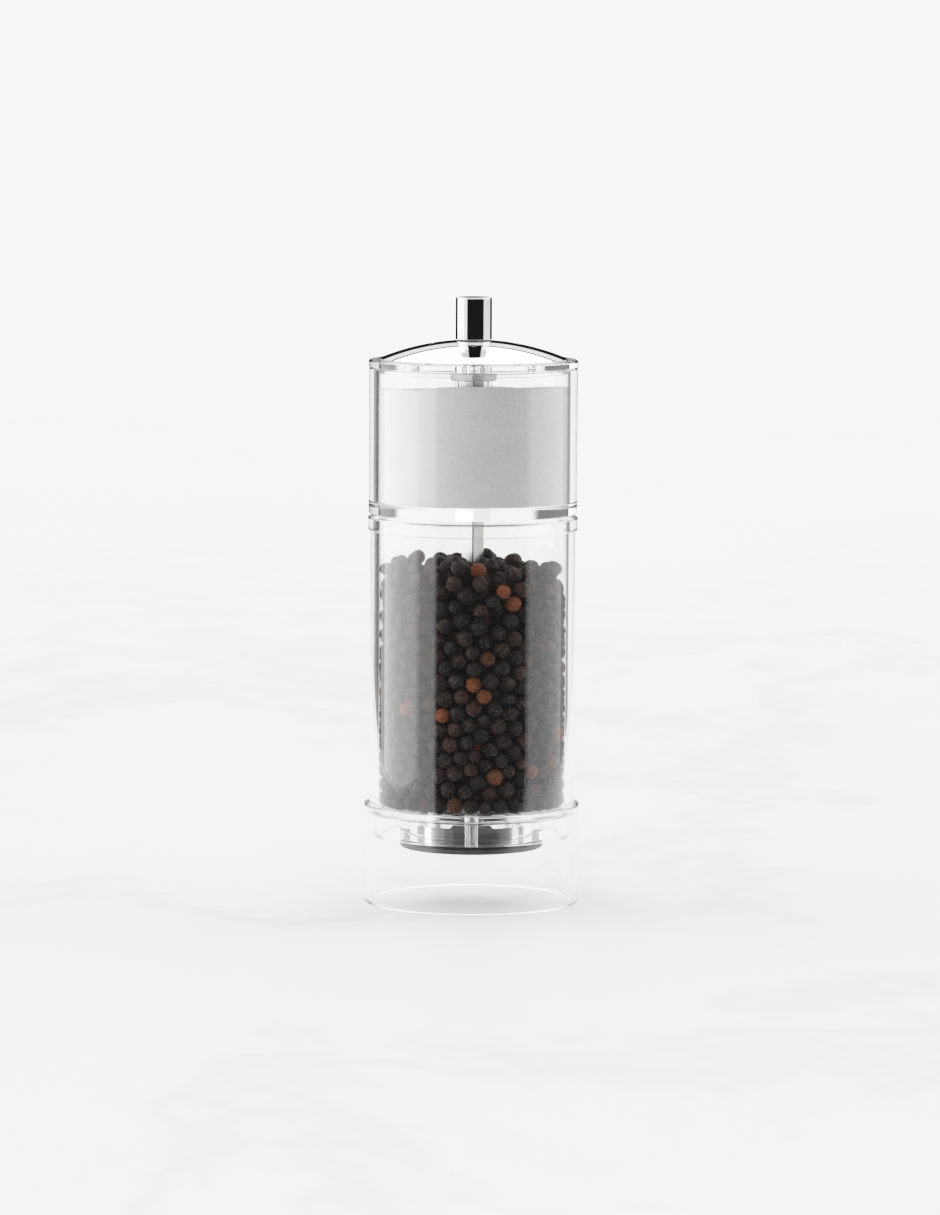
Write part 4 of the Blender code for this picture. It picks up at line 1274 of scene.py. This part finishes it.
@dataclass
class Salt:
    """The heap of fine salt round the centre tube, with loose grains on it."""

    bottom: float
    top: float
    inner: float
    outer: float
    rings: int = 40
    steps: int = 160
    wave_size: float = 9.0 * MM
    wave: float = 0.5 * MM
    lean: float = 0.078  # how much the top rises towards the front
    side_lean: float = 0.012  # and towards the right
    grains: float = 2.6e6  # grains on a square metre of the top
    grain_size: float = 0.26 * MM
    seed: int = 5

    def surface(self, radius: float, angle: float) -> float:
        """Height of the uneven top.

        Args:
            radius: Distance from the axis.
            angle: Angle round the axis.

        Returns:
            The height.
        """
        point = Vector((radius * math.cos(angle), radius * math.sin(angle), 0.0))
        swell = noise.noise(point / self.wave_size + Vector((3.1, 1.7, 0.0)))
        ripple = noise.noise(point / (0.2 * self.wave_size))
        uneven = self.wave * swell + 0.2 * self.wave * ripple
        return self.top + uneven + self.side_lean * point.x - self.lean * point.y

    def heap(self) -> bpy.types.Mesh:
        """Make the closed body of the salt, under its uneven top."""
        form = bmesh.new()
        columns = []
        width = self.outer - self.inner
        across = [self.inner + width * ring / self.rings for ring in range(self.rings + 1)]
        for step in range(self.steps):
            angle = FULL_TURN * step / self.steps
            x, y = math.cos(angle), math.sin(angle)
            places = [(radius, self.surface(radius, angle)) for radius in across]
            places += [(self.outer, self.bottom), (self.inner, self.bottom)]
            columns.append([form.verts.new((radius * x, radius * y, height)) for radius, height in places])
        for column, beside in zip(columns, columns[1:] + columns[:1]):
            for low in range(len(column)):
                high = (low + 1) % len(column)
                form.faces.new((column[low], column[high], beside[high], beside[low]))
        bmesh.ops.recalc_face_normals(form, faces=form.faces)
        return shaded(form, "salt_heap", 50.0)

    def build(self) -> None:
        """Make the heap and scatter grains on its top."""
        recipe = GeometryRecipe("scattered_grains")
        sheet = recipe.sheet
        density = recipe.size("Density", self.grains)
        seed = recipe.size("Seed", self.seed, "NodeSocketInt")
        grain = recipe.size("Grain", self.grain_size)
        limit = recipe.size("Top Only Above", self.top - 4.0 * MM)
        heap = recipe.start.outputs[0]
        normal = sheet.add("GeometryNodeInputNormal").outputs[0]
        upright = sheet.add("ShaderNodeSeparateXYZ", {0: normal}).outputs[2]
        place = sheet.add("GeometryNodeInputPosition").outputs[0]
        height = sheet.add("ShaderNodeSeparateXYZ", {0: place}).outputs[2]
        high = sheet.math("GREATER_THAN", height, limit)
        on_top = sheet.math("MULTIPLY", sheet.math("GREATER_THAN", upright, 0.5), high)
        sowing = {"Mesh": heap, "Selection": on_top, "Density": density, "Seed": seed}
        spots = sheet.add("GeometryNodeDistributePointsOnFaces", sowing)
        cube = sheet.add("GeometryNodeMeshCube", {"Size": (1.0, 1.0, 1.0)}).outputs[0]
        spin = sheet.random_vector(0.0, FULL_TURN, seed)
        size = sheet.add("FunctionNodeRandomValue", {2: 0.6, 3: 1.3, "Seed": seed}, data_type="FLOAT")
        grown = sheet.math("MULTIPLY", size.outputs[1], grain)
        scattered = sheet.add(
            "GeometryNodeInstanceOnPoints",
            {"Points": spots.outputs[0], "Instance": cube, "Rotation": spin, "Scale": grown},
        )
        both = sheet.add("GeometryNodeJoinGeometry")
        sheet.feed(both.inputs[0], heap)
        sheet.feed(both.inputs[0], scattered.outputs[0])
        mesh = recipe.grow(self.heap(), both.outputs[0], SALT)
        mount("salt", mesh, SALT, "salt_head", ["salt_fill"], paint=False)


# --------------------------------------------------------------------------------------------------
# The lid and the knob


@dataclass
class Lid:
    """The clear lid plate and the domed chrome cap, with four shaker holes through both."""

    spigot_depth: float = 1.4 * MM
    spigot_wall: float = 1.2 * MM
    cup_bore: float = 24.55 * MM
    boss_wall: float = 0.85 * MM
    boss_length: float = 3.5 * MM
    ceiling: float = 0.9 * MM
    thickness: float = 1.9 * MM
    dome_rise: float = 4.8 * MM
    dome_sheet: float = 0.6 * MM
    holes: int = 4
    hole_circle: float = 11.05 * MM
    hole: float = 0.95 * MM
    plate_hole: float = 1.6 * MM
    shaft_hole: float = 3.37 * MM
    arc_steps: int = 40

    def hole_places(self) -> list[tuple[float, float]]:
        """Return X and Y of the shaker holes."""
        turns = [FULL_TURN * number / self.holes for number in range(self.holes)]
        return [(self.hole_circle * math.cos(turn), self.hole_circle * math.sin(turn)) for turn in turns]

    def build(self) -> None:
        """Make the plate and its cap."""
        plate = Span.of("lid_plate")
        top = plate.top
        bottom = top - self.thickness
        tube = Span.of("centre_tube")
        bore = tube.radius + 0.2 * MM
        boss = bore + self.boss_wall
        boss_bottom = bottom - self.boss_length
        ceiling = bottom - self.ceiling
        spigot = self.cup_bore - 0.1 * MM
        collar = outline(
            (self.shaft_hole, ceiling),
            (bore, ceiling),
            (bore, boss_bottom, 0.15 * MM),
            (boss, boss_bottom, 0.7 * MM),
            (boss, bottom - SEAT, 0.1 * MM),
            (self.shaft_hole, bottom - SEAT),
        )
        mount("lid_boss", turned("lid_boss", collar, SMALL_STEPS), FROSTED_ACRYLIC, "lid")
        points = outline(
            (self.shaft_hole, bottom),
            (spigot - self.spigot_wall, bottom, 0.3 * MM),
            (spigot - self.spigot_wall, bottom - self.spigot_depth, 0.3 * MM),
            (spigot, bottom - self.spigot_depth, 0.3 * MM),
            (spigot, bottom),
            (plate.radius, bottom, 0.25 * MM),
            (plate.radius, top, 0.5 * MM),
            (self.shaft_hole, top),
        )
        drills = [drill(self.plate_hole, bottom - MM, top + MM, place) for place in self.hole_places()]
        mesh = carved(turned("lid_disc", points), drills)
        mount("lid_disc", mesh, ACRYLIC, "lid", ["lid_plate"])
        self.dome()

    def dome(self) -> None:
        """Press the cap from sheet and punch its holes."""
        span = Span.of("lid_dome")
        sphere = (span.radius**2 + self.dome_rise**2) / (2.0 * self.dome_rise)
        centre = span.bottom + self.dome_rise - sphere
        inner = sphere - self.dome_sheet
        inner_rim = math.sqrt(inner**2 - (span.bottom - centre) ** 2)
        points = self.arc(sphere, centre, span.radius, self.shaft_hole)
        points += self.arc(inner, centre, inner_rim, self.shaft_hole)[::-1]
        drills = [drill(self.hole, span.bottom, span.top + 2.0 * MM, place) for place in self.hole_places()]
        mesh = carved(turned("chrome_cap", points, 256), drills)
        mount("chrome_cap", mesh, CHROME, "lid", ["lid_dome"])

    def arc(self, sphere: float, centre: float, outer: float, inner: float) -> Outline:
        """Points on a sphere from an outer to an inner distance from the axis."""
        reaches = [outer + (inner - outer) * step / self.arc_steps for step in range(self.arc_steps + 1)]
        return [(reach, centre + math.sqrt(sphere**2 - reach**2)) for reach in reaches]


@dataclass
class Knob:
    """The chrome knob, the brass insert in it and the washer under it."""

    skirt_wall: float = 0.5 * MM
    cap: float = 1.8 * MM
    edge: float = 0.4 * MM
    thread_bore: float = 2.4 * MM  # of the insert, and of the washer under it

    def build(self) -> None:
        """Turn the knob's shell, washer and threaded insert."""
        shell = Span.of("knob_shell")
        insert = Span.of("knob_insert")
        washer = Span.of("knob_washer")
        recess = shell.radius - self.skirt_wall
        bore = insert.radius + SEAT
        ceiling = washer.top + 0.3 * MM
        points = outline(
            (recess, shell.bottom),
            (shell.radius, shell.bottom, 0.12 * MM),
            (shell.radius, shell.top, self.edge),
            (0.0, shell.top),
            (0.0, shell.top - self.cap),
            (bore, shell.top - self.cap),
            (bore, ceiling),
            (recess, ceiling, 0.1 * MM),
        )
        mount("chrome_knob", turned("chrome_knob", points), CHROME, "knob", ["knob_shell"])
        hole = self.thread_bore
        thread = Thread(hole, THREAD_PITCH, insert.bottom, insert.top, GrowWay.INSIDE)
        mount("brass_insert", thread.mesh(BRASS, insert.radius), BRASS, "knob", ["knob_insert"], paint=False)
        edge = washer.radius
        ring = [(hole, washer.bottom), (edge, washer.bottom), (edge, washer.top), (hole, washer.top)]
        mesh = turned("knob_slip_washer", ring, SMALL_STEPS)
        mount("knob_slip_washer", mesh, NYLON, "knob_seat", ["knob_washer"])


# --------------------------------------------------------------------------------------------------
# The studio


@dataclass(frozen=True)
class Panel:
    """One bright area of the studio, in degrees: azimuth 0 is the front and 90 the right."""

    left: float
    right: float
    low: float
    high: float
    radiance: float
    edge: float = 2.5


@dataclass
class Studio:
    """A soft studio: bright panels at the sides and overhead, a dark front and a pale table."""

    panels: tuple = (
        Panel(-124.0, -66.0, -35.0, 34.0, 4.0),
        Panel(-66.0, -43.0, -35.0, 30.0, 1.9),
        Panel(66.0, 126.0, -35.0, 30.0, 1.45),
        Panel(-180.0, 180.0, 14.0, 22.0, 1.6, 1.0),
        Panel(-180.0, -38.0, 24.0, 90.0, 1.6, 1.0),
        Panel(56.0, 180.0, 24.0, 90.0, 1.6, 1.0),
        Panel(-38.0, 56.0, 45.0, 90.0, 2.1, 2.0),
        Panel(-180.0, -110.0, 24.0, 60.0, 2.9, 1.0),
        Panel(110.0, 180.0, 24.0, 60.0, 3.3, 1.0),
    )
    behind: tuple = (
        Panel(-180.0, -155.0, -90.0, 14.0, 2.1, 6.0),
        Panel(146.0, 180.0, -90.0, 14.0, 2.1, 6.0),
    )  # the backdrop, as seen through the clear plastic
    dark: float = 0.012
    lift: float = 0.16  # the dark studio, as seen through the clear plastic
    backdrop: tuple = (2.36, 2.365, 2.375)
    film_speed: float = 1.15
    film_white: float = 4.0

    def panel_light(
        self, sheet: NodeSheet, panel: Panel, azimuth: Socket, height: Socket
    ) -> Socket:
        """Lay out one panel.

        Args:
            sheet: The world's sheet.
            panel: The panel.
            azimuth: The direction's azimuth in degrees.
            height: The direction's elevation in degrees.

        Returns:
            The panel's radiance in that direction.
        """
        edge = panel.edge / 2.0
        light = sheet.remap(height, panel.low - edge, panel.low + edge, 0.0, panel.radiance)
        if panel.high < 90.0:
            below = sheet.remap(height, panel.high - edge, panel.high + edge, 1.0, 0.0)
            light = sheet.math("MULTIPLY", light, below)
        if panel.left > -180.0:
            right_of = sheet.remap(azimuth, panel.left - edge, panel.left + edge, 0.0, 1.0)
            light = sheet.math("MULTIPLY", light, right_of)
        if panel.right < 180.0:
            left_of = sheet.remap(azimuth, panel.right - edge, panel.right + edge, 1.0, 0.0)
            light = sheet.math("MULTIPLY", light, left_of)
        return light

    def build(self) -> None:
        """Light the world, lay the table and set the picture's tones."""
        world = bpy.data.worlds.new("soft_studio")
        world.use_nodes = True
        bpy.context.scene.world = world
        sheet = NodeSheet(world.node_tree)
        way = sheet.add("ShaderNodeTexCoord").outputs["Generated"]
        x, y, z = sheet.add("ShaderNodeSeparateXYZ", {0: way}).outputs
        front = sheet.math("MULTIPLY", y, -1.0)
        azimuth = sheet.math("DEGREES", sheet.math("ARCTAN2", x, front))
        height = sheet.math("DEGREES", sheet.math("ARCSINE", z))
        total: object = self.dark
        for panel in self.panels:
            total = sheet.math("ADD", total, self.panel_light(sheet, panel, azimuth, height))
        through: object = self.lift
        for panel in self.behind:
            through = sheet.math("ADD", through, self.panel_light(sheet, panel, azimuth, height))
        passing = sheet.add("ShaderNodeLightPath").outputs["Is Transmission Ray"]
        total = sheet.math("ADD", total, sheet.math("MULTIPLY", passing, through))
        lights = sheet.add("ShaderNodeBackground", {"Color": (1.0, 0.998, 0.995, 1.0), "Strength": total})
        fade = sheet.remap(height, -5.0, 1.0, 0.93, 1.02)
        shown = sheet.add("ShaderNodeBackground", {"Color": (*self.backdrop, 1.0), "Strength": fade})
        seen = sheet.add("ShaderNodeLightPath").outputs["Is Camera Ray"]
        mixed = sheet.add("ShaderNodeMixShader", {0: seen, 1: lights.outputs[0], 2: shown.outputs[0]})
        sheet.feed(world.node_tree.nodes["World Output"].inputs["Surface"], mixed.outputs[0])
        self.table()
        self.tones()

    def table(self) -> None:
        """Lay the marble table top."""
        marble = PaleMarble("pale_marble", "")
        form = bmesh.new()
        corners = [(-1, marble.front), (1, marble.front), (1, marble.back), (-1, marble.back)]
        form.faces.new([form.verts.new((side * marble.half_width, along, 0.0)) for side, along in corners])
        mesh = shaded(form, "table_top")
        mesh.materials.append(marble.material())
        table = bpy.data.objects.new("table_top", mesh)
        bpy.context.scene.collection.objects.link(table)

    def tones(self) -> None:
        """Set the picture's tones, and light paths that are long enough for clear plastic."""
        scene = bpy.context.scene
        self.film(scene.view_settings)
        cycles = scene.cycles
        cycles.max_bounces = 28
        cycles.transmission_bounces = 26
        cycles.glossy_bounces = 12
        cycles.diffuse_bounces = 3
        cycles.transparent_max_bounces = 40
        cycles.caustics_reflective = False
        cycles.caustics_refractive = False
        cycles.sample_clamp_indirect = 12.0
        cycles.use_denoising = True

    def film(self, view: bpy.types.ColorManagedViewSettings) -> None:
        """Give the picture the soft shoulder of film: display = 1 - exp(-speed * light).

        Args:
            view: The scene's view settings.
        """
        view.view_transform = "Standard"
        view.use_curve_mapping = True
        mapping = view.curve_mapping
        mapping.white_level = (self.film_white,) * 3
        curve = mapping.curves[3]
        stops = (0.01, 0.025, 0.05, 0.09, 0.14, 0.2, 0.3, 0.42, 0.58, 0.78)
        for stop in stops:
            curve.points.new(stop, 1.0 - math.exp(-self.film_speed * self.film_white * stop))
        mapping.update()


@dataclass
class StudioCamera:
    """A long lens in front of the mill and a little above it."""

    back: float = 1.558
    height: float = 0.2377
    side: float = -0.64 * MM
    down: float = math.radians(5.9)
    roll: float = math.radians(0.27)
    lens: float = 178.7
    sensor: float = 36.0

    def build(self) -> None:
        """Place the camera and make it the scene's."""
        data = bpy.data.cameras.new("studio_camera")
        data.lens = self.lens
        data.sensor_width = self.sensor
        data.clip_start = 0.01
        data.clip_end = 50.0
        camera = bpy.data.objects.new("studio_camera", data)
        bpy.context.scene.collection.objects.link(camera)
        aim = Matrix.Rotation(math.radians(90.0) - self.down, 4, "X") @ Matrix.Rotation(self.roll, 4, "Z")
        camera.matrix_world = Matrix.Translation((self.side, -self.back, self.height)) @ aim
        bpy.context.scene.camera = camera


def main() -> None:
    """Build the studio and the mill, piece by piece."""
    logging.basicConfig(level=logging.INFO, format="%(name)s: %(message)s")
    StudioCamera().build()
    Studio().build()
    below = (ClearFoot(), PepperChamber(), Grinder(), Peppercorns())
    above = (Spindle(), SaltHead(), Lid(), Knob())
    for part in below + above:
        LOG.info("making %s", type(part).__name__)
        part.build()


if __name__ == "__main__":
    main()
